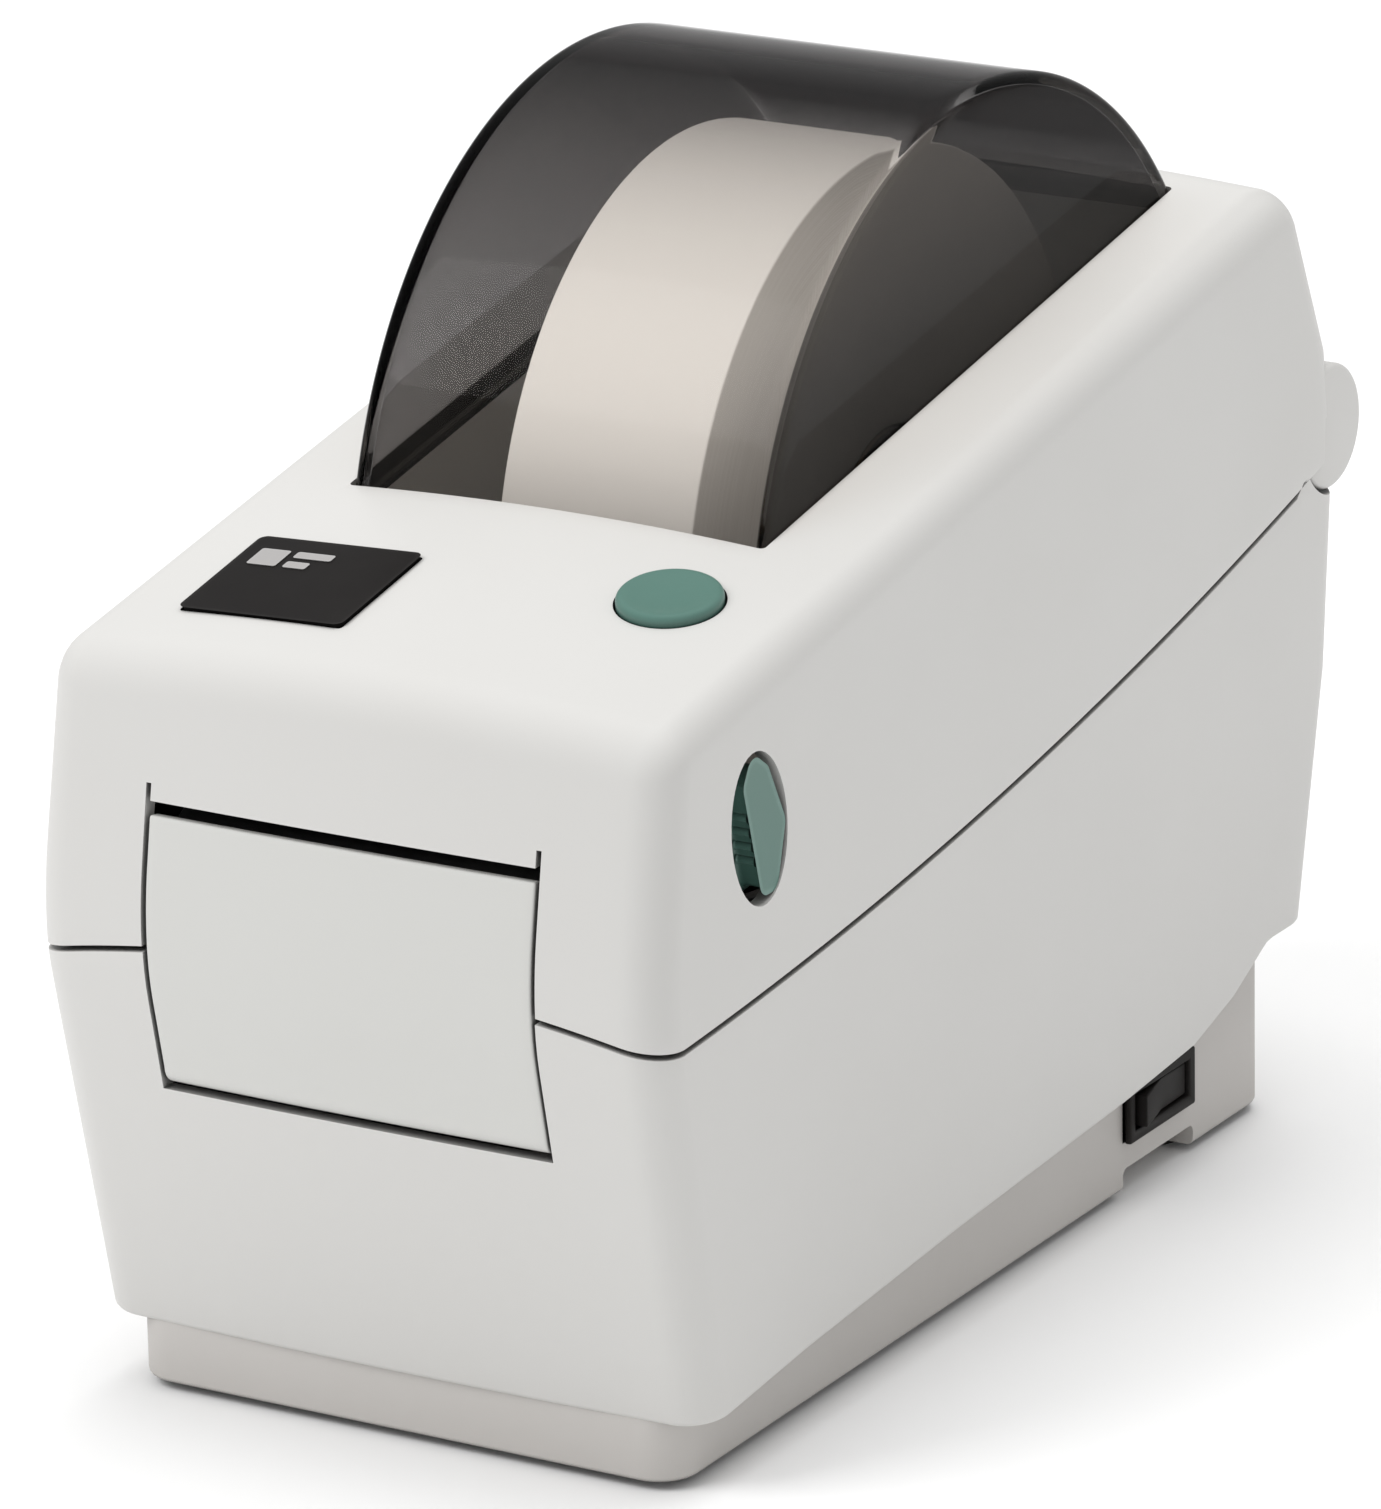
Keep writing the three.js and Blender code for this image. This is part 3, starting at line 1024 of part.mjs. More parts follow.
const jackMid = (connectors.jack[0] + connectors.jack[1]) / 2;
const jackZ = CONNECTOR_FOOT + connectors.jack[2] / 2;
const alongY = (x, z, y0, y1, radius, sides) => {
  const geometry = new THREE.CylinderGeometry(radius, radius, y1 - y0, sides);
  geometry.translate(x, (y0 + y1) / 2, z);
  return solid(geometry);
};
addMesh('power_inlet', connectorBody(connectors.jack)
  .subtract(alongY(jackMid, jackZ, HINGE_Y - 15, FAR, 3.2, 20))
  .add(alongY(jackMid, jackZ, HINGE_Y - 16, HINGE_Y - 8, 1, 12)), 'black');

const usbMid = (connectors.usb[0] + connectors.usb[1]) / 2;
const usbZ = CONNECTOR_FOOT + connectors.usb[2] / 2;
addMesh('usb_socket', connectorBody(connectors.usb)
  .subtract(box(usbMid - 4.3, usbMid + 4.3, HINGE_Y - 15, FAR, usbZ - 3.9, usbZ + 3.9))
  .add(box(usbMid - 2.8, usbMid + 2.8, HINGE_Y - 16, HINGE_Y - 8.2, usbZ - 1.6, usbZ + 1.6)), 'zinc');

function serialSocket() {
  const mid = (connectors.serial[0] + connectors.serial[1]) / 2;
  const z = CONNECTOR_FOOT + connectors.serial[2] / 2;
  const corners = [[mid - 8, z - 4], [mid + 8, z - 4], [mid + 9, z + 4], [mid - 9, z + 4]];
  const shell = roundedOutline(corners, 1.8, 3);
  const nose = planSlab(shell.map(([x, height]) => [x, -height]), HINGE_Y - 7, HINGE_Y - 1.5)
    .rotate([-90, 0, 0]);
  return connectorBody(connectors.serial).add(nose);
}
addMesh('serial_socket', serialSocket(), 'zinc');

printer.position.y = -DEPTH / 2;
export default printer;
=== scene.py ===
"""Desktop thermal label printer: the finished surfaces laid over the CAD frame.

Lengths in this file are millimetres, and s is the distance back from the foremost point of
the front. A mesh is turned into metres, and into the frame's own Y, when it is made.
"""

import math

import bmesh
import bpy
import numpy as np
from mathutils import Matrix, Vector


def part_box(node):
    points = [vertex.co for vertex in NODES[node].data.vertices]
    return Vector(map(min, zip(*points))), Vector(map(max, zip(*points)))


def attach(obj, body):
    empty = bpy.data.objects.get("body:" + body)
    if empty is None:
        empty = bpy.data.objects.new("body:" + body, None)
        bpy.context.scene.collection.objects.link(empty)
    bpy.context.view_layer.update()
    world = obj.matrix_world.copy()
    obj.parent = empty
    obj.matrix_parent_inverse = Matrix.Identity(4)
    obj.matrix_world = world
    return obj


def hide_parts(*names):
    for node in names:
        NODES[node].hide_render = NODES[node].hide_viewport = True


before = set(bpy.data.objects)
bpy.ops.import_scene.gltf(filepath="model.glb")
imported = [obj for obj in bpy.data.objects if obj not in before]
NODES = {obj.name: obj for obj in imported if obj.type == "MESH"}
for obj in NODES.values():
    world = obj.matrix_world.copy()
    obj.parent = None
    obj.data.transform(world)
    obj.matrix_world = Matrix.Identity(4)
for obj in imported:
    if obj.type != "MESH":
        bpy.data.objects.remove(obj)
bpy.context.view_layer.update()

# ---------------------------------------------------------------------------
# Sizes
# ---------------------------------------------------------------------------
HALF = 50.0                # half the width of the machine
PARTING = 66.8             # height of the parting line at the front corners
TOP = 110.1                # height of the top, carried forward to the front
RISE = math.tan(math.radians(10.5))   # climb of the top to the rear
DECK = 59.0                # front edge of the window
CROWN = 2.4                # top higher in the middle than at its sides
BOW = 1.0                  # front further out in the middle than at its sides
PARTING_BOW = 5.6          # parting line higher in the middle of the front
SEAM = 0.45                # half the open line between lid and base
WALL = 2.4                 # moulded walls
ROLL_Z = 102.8             # height of the roll and of the lid hinge
WINDOW_RADIUS = 67.0       # the window's arc, about the roll's axis
ROLL_S = DECK + math.sqrt(WINDOW_RADIUS**2 - (TOP + RISE * DECK - ROLL_Z) ** 2)
HINGE_S = ROLL_S + 73.7    # axis of the lid hinge
BARREL = 9.4               # radius of its barrel
BASE_KNUCKLE = 8.8         # radius of the base's knuckles in it
CRADLE = 10.0              # radius of the hollow in the base under it
LAST_KNUCKLE = (36.3, 49.0)    # ends of the outer knuckles, to each side
KNUCKLE = (22.0, 36.0)     # ends of the base's knuckles
DEPTH = HINGE_S + BARREL
WINDOW_HALF = 33.0
DOOR_HALF = 30.5
DOOR_GAP = 0.6
DOOR_TOP = 89.0
DOOR_FOOT = 49.7
DOOR_ROLL = 2.6            # radius of the roll at the foot of the door
SLOT_TOP = 90.9            # top of the slot that the labels leave by
PAN_HALF = 44.0
PAN_FRONT = 13.0
PAN_REAR = HINGE_S - 10.5
PAN_TOP = 33.0
FRONT_CORNER = 6.0         # upright corners
REAR_CORNER = 7.0
SIDE_EDGE = 6.0            # roundness of the lid's long top edges
FRONT_EDGE = 9.0
REAR_EDGE = 10.0
FRONT_LEAN = math.radians(9.3)     # lean of the wall where each edge starts
REAR_LEAN = math.radians(22)
LATCH = (27.0, 101.0)      # axis of the latch: s, z
LEVER_SPAN = (45.7, 49.5)  # inner and outer face of a latch lever
BUTTON = (29.0, 41.0)      # x, s
BADGE = (-22.8, 30.0)
BADGE_SIZE = (12.75, 10.75)    # half its width and half its length
SWITCH = (ROLL_S + 17, ROLL_S + 37, 8.6, 17.6)   # s and z of the rocker's frame
CONNECTORS = ((18, 27.5, 11), (-3, 9, 11), (-38.5, -7.5, 12.5))   # x to x, and height
THIN = 0.0001              # rounding of a shape that only cuts


def ramp(value, start, end):
    """Rises in a straight line from 0 at start to 1 at end, and stays there."""
    return np.clip((value - start) / (end - start), 0, 1)


def window_rear():
    """The distance back at which the window's arc comes down to the sloping top. Each step takes
    the height of the top at the last answer."""
    back = ROLL_S - DECK
    for _ in range(20):
        back = math.sqrt(WINDOW_RADIUS**2 - (TOP + RISE * (ROLL_S + back) - ROLL_Z) ** 2)
    return ROLL_S + back


WINDOW_REAR = window_rear()

# ---------------------------------------------------------------------------
# Meshes
# ---------------------------------------------------------------------------


def to_frame(points):
    """Millimetres with s measured from the front, to metres in the frame."""
    out = np.array(points, float).reshape(-1, 3)
    out[:, 1] -= DEPTH / 2
    return out / 1000


def new_object(name, mesh):
    obj = bpy.data.objects.new(name, mesh)
    bpy.context.scene.collection.objects.link(obj)
    return obj


def surface(name, points, closed=False, caps=False, poles=False):
    """A grid of points, rows by stops, as quads. closed joins each row's end to its start.
    caps fills the first and last rows, and poles draws them to their middles."""
    rows, stops = points.shape[:2]
    index = np.arange(rows * stops).reshape(rows, stops)
    ahead = np.roll(index, -1, axis=1) if closed else index[:, 1:]
    here = index if closed else index[:, :-1]
    quads = np.stack([here[:-1], ahead[:-1], ahead[1:], here[1:]], axis=-1).reshape(-1, 4)
    faces = quads.tolist()
    corners = points.reshape(-1, 3)
    if caps:
        faces += [index[0, ::-1].tolist(), index[-1].tolist()]
    if poles:
        ends = np.array([points[0].mean(0), points[-1].mean(0)])
        corners = np.vstack([corners, ends])
        first, last = rows * stops, rows * stops + 1
        near, far = index[0], index[-1]
        faces += np.stack([np.roll(near, -1), near, np.full(stops, first)], -1).tolist()
        faces += np.stack([far, np.roll(far, -1), np.full(stops, last)], -1).tolist()
    mesh = bpy.data.meshes.new(name)
    mesh.from_pydata(to_frame(corners).tolist(), [], faces)
    mesh.validate()
    return new_object(name, mesh)


def face_out(obj, merge=1e-6, inner=None):
    """Near corners merged, then every face turned outwards. On an open shell, outwards is away
    from the point inner."""
    bm = bmesh.new()
    bm.from_mesh(obj.data)
    bmesh.ops.remove_doubles(bm, verts=bm.verts, dist=merge)
    bmesh.ops.recalc_face_normals(bm, faces=bm.faces)
    if inner is not None:
        middle = Vector(to_frame([inner])[0])
        lean = sum((f.calc_center_median() - middle).dot(f.normal) * f.calc_area() for f in bm.faces)
        if lean < 0:
            bmesh.ops.reverse_faces(bm, faces=bm.faces)
    bm.to_mesh(obj.data)
    bm.free()
    return obj


def settle(obj, sharp=32):
    """Modifiers worked into the mesh, smooth shading, and creases past sharp degrees."""
    graph = bpy.context.evaluated_depsgraph_get()
    mesh = bpy.data.meshes.new_from_object(obj.evaluated_get(graph))
    obj.modifiers.clear()
    obj.data = mesh
    mesh.shade_smooth()
    mesh.set_sharp_from_angle(angle=math.radians(sharp))
    return obj


def thicken(obj, wall, even=True):
    step = obj.modifiers.new("wall", "SOLIDIFY")
    step.thickness = wall / 1000
    step.offset = -1
    step.use_even_offset = even
    return obj


def round_edges(obj, width, segments=3, angle=45):
    step = obj.modifiers.new("edges", "BEVEL")
    step.width = width / 1000
    step.segments = segments
    step.limit_method = "ANGLE"
    step.angle_limit = math.radians(angle)
    return obj


def carve(obj, cutters, operation="DIFFERENCE"):
    """Cutters taken out of obj, or added to it, one after another."""
    for cutter in cutters:
        step = obj.modifiers.new("cut", "BOOLEAN")
        step.object = cutter
        step.operation = operation
        step.solver = "EXACT"
        settle(obj)
        bpy.data.objects.remove(cutter)
    return obj


def moved(points, matrix):
    """Points carried by a 4 by 4 matrix that is in millimetres."""
    flat = np.array(points, float).reshape(-1, 3)
    turned = flat @ np.array(matrix)[:3, :3].T + np.array(matrix)[:3, 3]
    return turned.reshape(np.shape(points))


def outline_inset(outline, depth):
    """A closed outline moved inwards by depth along the mean of its two edge normals."""
    before = outline - np.roll(outline, 1, axis=0)
    after = np.roll(outline, -1, axis=0) - outline
    ahead = np.roll(outline, -1, axis=0)
    area = np.sum(outline[:, 0] * ahead[:, 1] - outline[:, 1] * ahead[:, 0])
    turn = np.array([[0, 1], [-1, 0]]) * (-1 if area > 0 else 1)
    n0 = before / np.linalg.norm(before, axis=1, keepdims=True) @ turn
    n1 = after / np.linalg.norm(after, axis=1, keepdims=True) @ turn
    mean = n0 + n1
    mean /= np.maximum(np.sum(mean * n0, axis=1, keepdims=True), 0.4)
    return outline + mean * depth


def bar(name, outline, x0, x1, soft=0.4, steps=4, plane="side", matrix=None):
    """A closed outline carried in a straight line, its two ends drawn in by a quarter circle.
    plane side: outline of (s, z) along X. plan: outline of (x, s) along Z. face: (x, z) along s."""
    outline = np.array(outline, float)
    angles = np.linspace(0, math.pi / 2, steps + 1)
    inset = soft * (1 - np.sin(angles))
    travel = soft * (1 - np.cos(angles))
    places = np.concatenate([x0 + travel, x1 - travel[::-1]])
    insets = np.concatenate([inset, inset[::-1]])
    rows = np.stack([outline_inset(outline, depth) for depth in insets])
    carried = np.broadcast_to(places[:, None], rows.shape[:2])
    order = {"side": (carried, rows[..., 0], rows[..., 1]),
             "plan": (rows[..., 0], rows[..., 1], carried),
             "face": (rows[..., 0], carried, rows[..., 1])}[plane]
    points = np.stack(order, axis=-1)
    if matrix is not None:
        points = moved(points, matrix)
    return face_out(surface(name, points, closed=True, caps=True))


def corners_rounded(corners, radius, steps=5):
    """Each corner of an outline replaced by the arc of that radius that touches both its sides."""
    points = np.array(corners, float)
    radii = np.broadcast_to(np.array(radius, float), (len(points),))
    u = np.roll(points, 1, axis=0) - points
    v = np.roll(points, -1, axis=0) - points
    u /= np.linalg.norm(u, axis=1, keepdims=True)
    v /= np.linalg.norm(v, axis=1, keepdims=True)
    half = np.arccos(np.clip(np.sum(u * v, axis=1), -1, 1)) / 2
    middle = (u + v) / np.linalg.norm(u + v, axis=1, keepdims=True)
    centre = points + middle * (radii / np.sin(half))[:, None]
    start = points + u * (radii / np.tan(half))[:, None] - centre
    end = points + v * (radii / np.tan(half))[:, None] - centre
    a0 = np.arctan2(start[:, 1], start[:, 0])
    sweep = (np.arctan2(end[:, 1], end[:, 0]) - a0 + math.pi) % (2 * math.pi) - math.pi
    angle = a0[:, None] + sweep[:, None] * np.linspace(0, 1, steps + 1)
    arcs = np.stack([np.cos(angle), np.sin(angle)], -1) * radii[:, None, None] + centre[:, None]
    return arcs.reshape(-1, 2)


def rectangle(a0, a1, b0, b1, radius=0.0, steps=5):
    corners = [(a0, b0), (a1, b0), (a1, b1), (a0, b1)]
    return corners_rounded(corners, radius, steps) if radius else np.array(corners, float)


def block(x0, x1, s0, s1, z0, z1):
    """A plain box, used only to cut with or to fill behind a surface."""
    return bar("cut", rectangle(s0, s1, z0, z1), x0, x1, THIN, 1)


def spun(name, profile, matrix, sides=64):
    """A profile of (radius, height) turned once round its own axis, closed where it meets it."""
    profile = np.array(profile, float)
    angle = np.linspace(0, 2 * math.pi, sides, endpoint=False)
    radius = np.maximum(profile[:, :1], 1e-4)
    points = np.stack([radius * np.cos(angle), radius * np.sin(angle),
                       np.broadcast_to(profile[:, 1:], (len(profile), sides))], axis=-1)
    return face_out(surface(name, moved(points, matrix), closed=True, poles=True), 1e-7)


def along_x(s, z):
    """Matrix that lays the local Z axis along X, through (s, z)."""
    return np.array([[0, 0, 1, 0], [1, 0, 0, s], [0, 1, 0, z], [0, 0, 0, 1.0]])


def top_at(x, s):
    """Height of the top: it climbs to the rear and falls as the square of the way to a side."""
    return TOP + RISE * s - CROWN * (x / HALF) ** 2


def on_top(x, s):
    """Matrix that stands a piece square to the top at (x, s)."""
    across = np.array([1, 0, -2 * CROWN * x / HALF**2])
    back = np.array([0, 1, RISE])
    up = np.cross(across, back)
    across = across / np.linalg.norm(across)
    up = up / np.linalg.norm(up)
    back = np.cross(up, across)
    matrix = np.eye(4)
    matrix[:3, :3] = np.stack([across, back, up], axis=1)
    matrix[:3, 3] = (x, s, top_at(x, s))
    return matrix


def joined(name, parts):
    """Several meshes as one object."""
    bm = bmesh.new()
    for part in parts:
        bm.from_mesh(part.data)
        bpy.data.objects.remove(part)
    mesh = bpy.data.meshes.new(name)
    bm.to_mesh(mesh)
    bm.free()
    mesh.shade_smooth()
    mesh.set_sharp_from_angle(angle=math.radians(32))
    return new_object(name, mesh)


def softened(node, width, segments=2):
    """A copy of a CAD node: loose triangles merged, flat faces rejoined, edges rounded."""
    mesh = NODES[node].data.copy()
    bm = bmesh.new()
    bm.from_mesh(mesh)
    bmesh.ops.remove_doubles(bm, verts=bm.verts, dist=2e-6)
    bmesh.ops.dissolve_limit(bm, angle_limit=math.radians(0.5), verts=bm.verts, edges=bm.edges)
    bm.to_mesh(mesh)
    bm.free()
    obj = new_object("finished_" + node, mesh)
    if width:
        round_edges(obj, width, segments, 40)
    return settle(obj)


# ---------------------------------------------------------------------------
# Materials
# ---------------------------------------------------------------------------
GROUPS = {}


def group(name, inputs, outputs):
    """An empty node group with its inputs as (name, kind, value) and its outputs as (name, kind)."""
    tree = bpy.data.node_groups.new(name, "ShaderNodeTree")
    for label, kind, value in inputs:
        socket = tree.interface.new_socket(label, in_out="INPUT", socket_type="NodeSocket" + kind)
        socket.default_value = value
    for label, kind in outputs:
        tree.interface.new_socket(label, in_out="OUTPUT", socket_type="NodeSocket" + kind)
    GROUPS[name] = tree
    return tree, tree.nodes.new("NodeGroupInput"), tree.nodes.new("NodeGroupOutput")


def add(tree, kind, links=None, **values):
    """A node, with its settings and its sockets filled by name or number."""
    node = tree.nodes.new(kind)
    for key, value in values.items():
        setattr(node, key, value)
    for key, value in (links or {}).items():
        socket = node.inputs[key]
        if isinstance(value, bpy.types.NodeSocket):
            tree.links.new(value, socket)
        else:
            socket.default_value = value
    return node


def maths(tree, operation, a, b=0.0, clamp=False):
    """One sum on two values or sockets. A sum on one value leaves out the second."""
    node = tree.nodes.new("ShaderNodeMath")
    node.operation = operation
    node.use_clamp = clamp
    for socket, value in zip(node.inputs, (a, b)):
        if isinstance(value, bpy.types.NodeSocket):
            tree.links.new(value, socket)
        else:
            socket.default_value = value
    return node.outputs[0]


def blend_colour(tree, share, a, b):
    node = tree.nodes.new("ShaderNodeMix")
    node.data_type = "RGBA"
    for socket, value in ((node.inputs[0], share), (node.inputs[6], a), (node.inputs[7], b)):
        if isinstance(value, bpy.types.NodeSocket):
            tree.links.new(value, socket)
        else:
            socket.default_value = value
    return node.outputs[2]


def noise(tree, scale, detail, vector=None, rough=0.5):
    links = {"Scale": scale, "Detail": detail, "Roughness": rough}
    if vector is not None:
        links["Vector"] = vector
    return add(tree, "ShaderNodeTexNoise", links).outputs["Fac"]


def object_place(tree, turn=(0, 0, 0), centre=(0, 0, 0)):
    """Object coordinates, moved so that centre is the origin, and turned."""
    coords = add(tree, "ShaderNodeTexCoord").outputs["Object"]
    shift = add(tree, "ShaderNodeMapping", {0: coords, "Location": [-c for c in centre]})
    turned = add(tree, "ShaderNodeMapping", {0: shift.outputs[0], "Rotation": turn})
    return turned.outputs[0]


def build_groups():
    """The effects that several finishes share."""
    tree, i, o = group("worn_edges", [("Radius", "Float", 0.0006), ("Amount", "Float", 0.5)],
                       [("Mask", "Float")])
    bevel = add(tree, "ShaderNodeBevel", {"Radius": i.outputs["Radius"]}, samples=4)
    flat = add(tree, "ShaderNodeNewGeometry").outputs["Normal"]
    alike = add(tree, "ShaderNodeVectorMath", {0: bevel.outputs[0], 1: flat}, operation="DOT_PRODUCT")
    away = maths(tree, "SUBTRACT", 1.0, alike.outputs["Value"])
    sharp = maths(tree, "MULTIPLY", away, 9.0, True)
    patch = maths(tree, "MULTIPLY", noise(tree, 420, 4, object_place(tree), 0.65), 1.5, True)
    both = maths(tree, "MULTIPLY", sharp, patch)
    tree.links.new(maths(tree, "MULTIPLY", both, i.outputs["Amount"], True), o.inputs["Mask"])

    tree, i, o = group("moulded_grain", [("Scale", "Float", 2600.0), ("Depth", "Float", 0.3)],
                       [("Height", "Float"), ("Gloss", "Float")])
    place = object_place(tree)
    fine = noise(tree, i.outputs["Scale"], 3, place, 0.6)
    wide = noise(tree, 34, 3, place)
    tree.links.new(maths(tree, "MULTIPLY", fine, i.outputs["Depth"]), o.inputs["Height"])
    tree.links.new(maths(tree, "MULTIPLY", maths(tree, "SUBTRACT", wide, 0.5), 0.22), o.inputs["Gloss"])

    tree, i, o = group("soil_and_painted_shade", [("Amount", "Float", 0.3), ("Low", "Float", 0.03)],
                       [("Mask", "Float"), ("Painted shade", "Float")])
    place = object_place(tree)
    height = add(tree, "ShaderNodeSeparateXYZ", {0: place}).outputs[2]
    low = maths(tree, "SUBTRACT", 1.0, maths(tree, "DIVIDE", height, i.outputs["Low"], True), True)
    cloud = maths(tree, "POWER", noise(tree, 26, 5, place, 0.62), 2.2)
    specks = maths(tree, "GREATER_THAN", noise(tree, 900, 2, place), 0.74)
    spread = maths(tree, "ADD", maths(tree, "MULTIPLY", low, 0.55), cloud)
    mix = maths(tree, "ADD", spread, maths(tree, "MULTIPLY", specks, 0.12))
    # painted shade: ambient occlusion within 3.5 mm picks out narrow crevices and seams, which are then
    # darkened in the colour
    open_sky = add(tree, "ShaderNodeAmbientOcclusion", {"Distance": 0.0035}, samples=6).outputs["AO"]
    painted_shade = maths(tree, "MULTIPLY", maths(tree, "SUBTRACT", 0.62, open_sky), 2.5, True)
    tree.links.new(painted_shade, o.inputs["Painted shade"])
    tree.links.new(maths(tree, "MULTIPLY", mix, i.outputs["Amount"], True), o.inputs["Mask"])

    tree, i, o = group("drawn_lines", [("Across", "Float", 900.0), ("Along", "Float", 12.0)],
                       [("Height", "Float"), ("Gloss", "Float")])
    coords = add(tree, "ShaderNodeTexCoord").outputs["Object"]
    stretch = add(tree, "ShaderNodeCombineXYZ", {0: i.outputs["Along"], 1: i.outputs["Across"],
                                                 2: i.outputs["Across"]})
    place = add(tree, "ShaderNodeVectorMath", {0: coords, 1: stretch.outputs[0]}, operation="MULTIPLY")
    lines = noise(tree, 1.0, 4, place.outputs[0], 0.6)
    tree.links.new(lines, o.inputs["Height"])
    tree.links.new(maths(tree, "MULTIPLY", maths(tree, "SUBTRACT", lines, 0.5), 0.5), o.inputs["Gloss"])


def use(tree, name, **values):
    node = tree.nodes.new("ShaderNodeGroup")
    node.node_tree = GROUPS[name]
    for key, value in values.items():
        node.inputs[key].default_value = value
    return node


MATERIALS = {}


def rgba(colour):
    return (*colour, 1.0)


def finish(name, colour, worn, rough, grain=2600.0, depth=0.25, soil=0.25, soil_colour=(0.33, 0.30, 0.26),
           wear=0.4, radius=0.0006, metal=0.0, low=0.02, lines=None, **plain):
    """A finish: base colour, a paler or darker one along worn edges, soil gathered low down, painted shade
    that darkens narrow crevices and seams, and a grain that raises the surface and changes its gloss."""
    material = bpy.data.materials.new(name)
    material.use_nodes = True
    tree = material.node_tree
    shader = next(n for n in tree.nodes if n.type == "BSDF_PRINCIPLED")
    edges = use(tree, "worn_edges", Radius=radius, Amount=wear).outputs[0]
    soil_and_shade = use(tree, "soil_and_painted_shade", Amount=soil, Low=low)
    dirt = soil_and_shade.outputs["Mask"]
    drift = maths(tree, "MULTIPLY", noise(tree, 11, 3, object_place(tree)), 0.5)
    base = blend_colour(tree, drift, rgba(colour), rgba([c * 0.93 for c in colour]))
    base = blend_colour(tree, edges, base, rgba(worn))
    base = blend_colour(tree, dirt, base, rgba(soil_colour))
    # painted shade: narrow crevices and seams darkened towards 0.16 of the colour
    base = blend_colour(tree, soil_and_shade.outputs["Painted shade"], base, rgba([c * 0.16 for c in colour]))
    tree.links.new(base, shader.inputs["Base Color"])
    surface_grain = (use(tree, "drawn_lines", Across=lines[0], Along=lines[1]) if lines
                     else use(tree, "moulded_grain", Scale=grain, Depth=depth))
    gloss = maths(tree, "ADD", surface_grain.outputs["Gloss"], rough)
    gloss = maths(tree, "ADD", gloss, maths(tree, "MULTIPLY", dirt, 0.35), True)
    tree.links.new(gloss, shader.inputs["Roughness"])
    bump = add(tree, "ShaderNodeBump", {"Height": surface_grain.outputs["Height"],
                                        "Strength": plain.pop("bump", 0.18), "Distance": 0.0002})
    tree.links.new(bump.outputs[0], shader.inputs["Normal"])
    shader.inputs["Metallic"].default_value = metal
    for key, value in plain.items():
        shader.inputs[key.replace("_", " ")].default_value = value
    MATERIALS[name] = material
    return material, tree, shader, base


build_groups()

finish("white_plastic", (0.612, 0.606, 0.59), (0.76, 0.755, 0.74), 0.42, soil=0.10, wear=0.25,
       soil_colour=(0.50, 0.46, 0.40))
finish("door_plastic", (0.595, 0.595, 0.575), (0.73, 0.73, 0.71), 0.45, soil=0.10, wear=0.25,
       soil_colour=(0.48, 0.45, 0.40))
finish("pan_plastic", (0.545, 0.525, 0.505), (0.58, 0.56, 0.54), 0.52, soil=0.22, low=0.012)
finish("green_plastic", (0.078, 0.176, 0.146), (0.19, 0.32, 0.28), 0.38, grain=1800.0, soil=0.06)
finish("black_plastic", (0.007, 0.006, 0.006), (0.03, 0.029, 0.028), 0.5, soil=0.05, wear=0.35,
       Specular_IOR_Level=0.12)
finish("bay_plastic", (0.024, 0.023, 0.023), (0.07, 0.068, 0.066), 0.55, grain=1700.0, soil=0.12,
       soil_colour=(0.16, 0.15, 0.14))
finish("gear_plastic", (0.78, 0.75, 0.66), (0.86, 0.84, 0.77), 0.42, soil=0.2,
       soil_colour=(0.22, 0.20, 0.17))
finish("platen_rubber", (0.022, 0.022, 0.024), (0.05, 0.05, 0.05), 0.62, grain=4200.0, soil=0.3,
       soil_colour=(0.4, 0.39, 0.37), depth=0.5)
finish("foot_rubber", (0.03, 0.03, 0.03), (0.06, 0.06, 0.06), 0.75, grain=3400.0, soil=0.4, low=0.004)
finish("steel", (0.60, 0.61, 0.62), (0.80, 0.80, 0.80), 0.24, metal=1.0, lines=(1400.0, 30.0), soil=0.1)
finish("zinc_plate", (0.52, 0.53, 0.54), (0.66, 0.66, 0.66), 0.38, metal=1.0, lines=(500.0, 180.0),
       soil=0.14)
finish("head_aluminium", (0.68, 0.69, 0.70), (0.85, 0.85, 0.85), 0.42, metal=1.0, grain=3000.0, soil=0.1)
finish("ceramic_strip", (0.62, 0.57, 0.47), (0.75, 0.71, 0.62), 0.2, grain=900.0, depth=0.05, soil=0.12)
finish("light_lens", (0.50, 0.74, 0.56), (0.66, 0.85, 0.70), 0.2, grain=700.0, depth=0.05, soil=0.03)
finish("badge_grey", (0.36, 0.35, 0.345), (0.5, 0.5, 0.5), 0.4, soil=0.05)
finish("socket_metal", (0.6, 0.6, 0.6), (0.8, 0.8, 0.8), 0.3, metal=1.0, lines=(700.0, 160.0), soil=0.1)


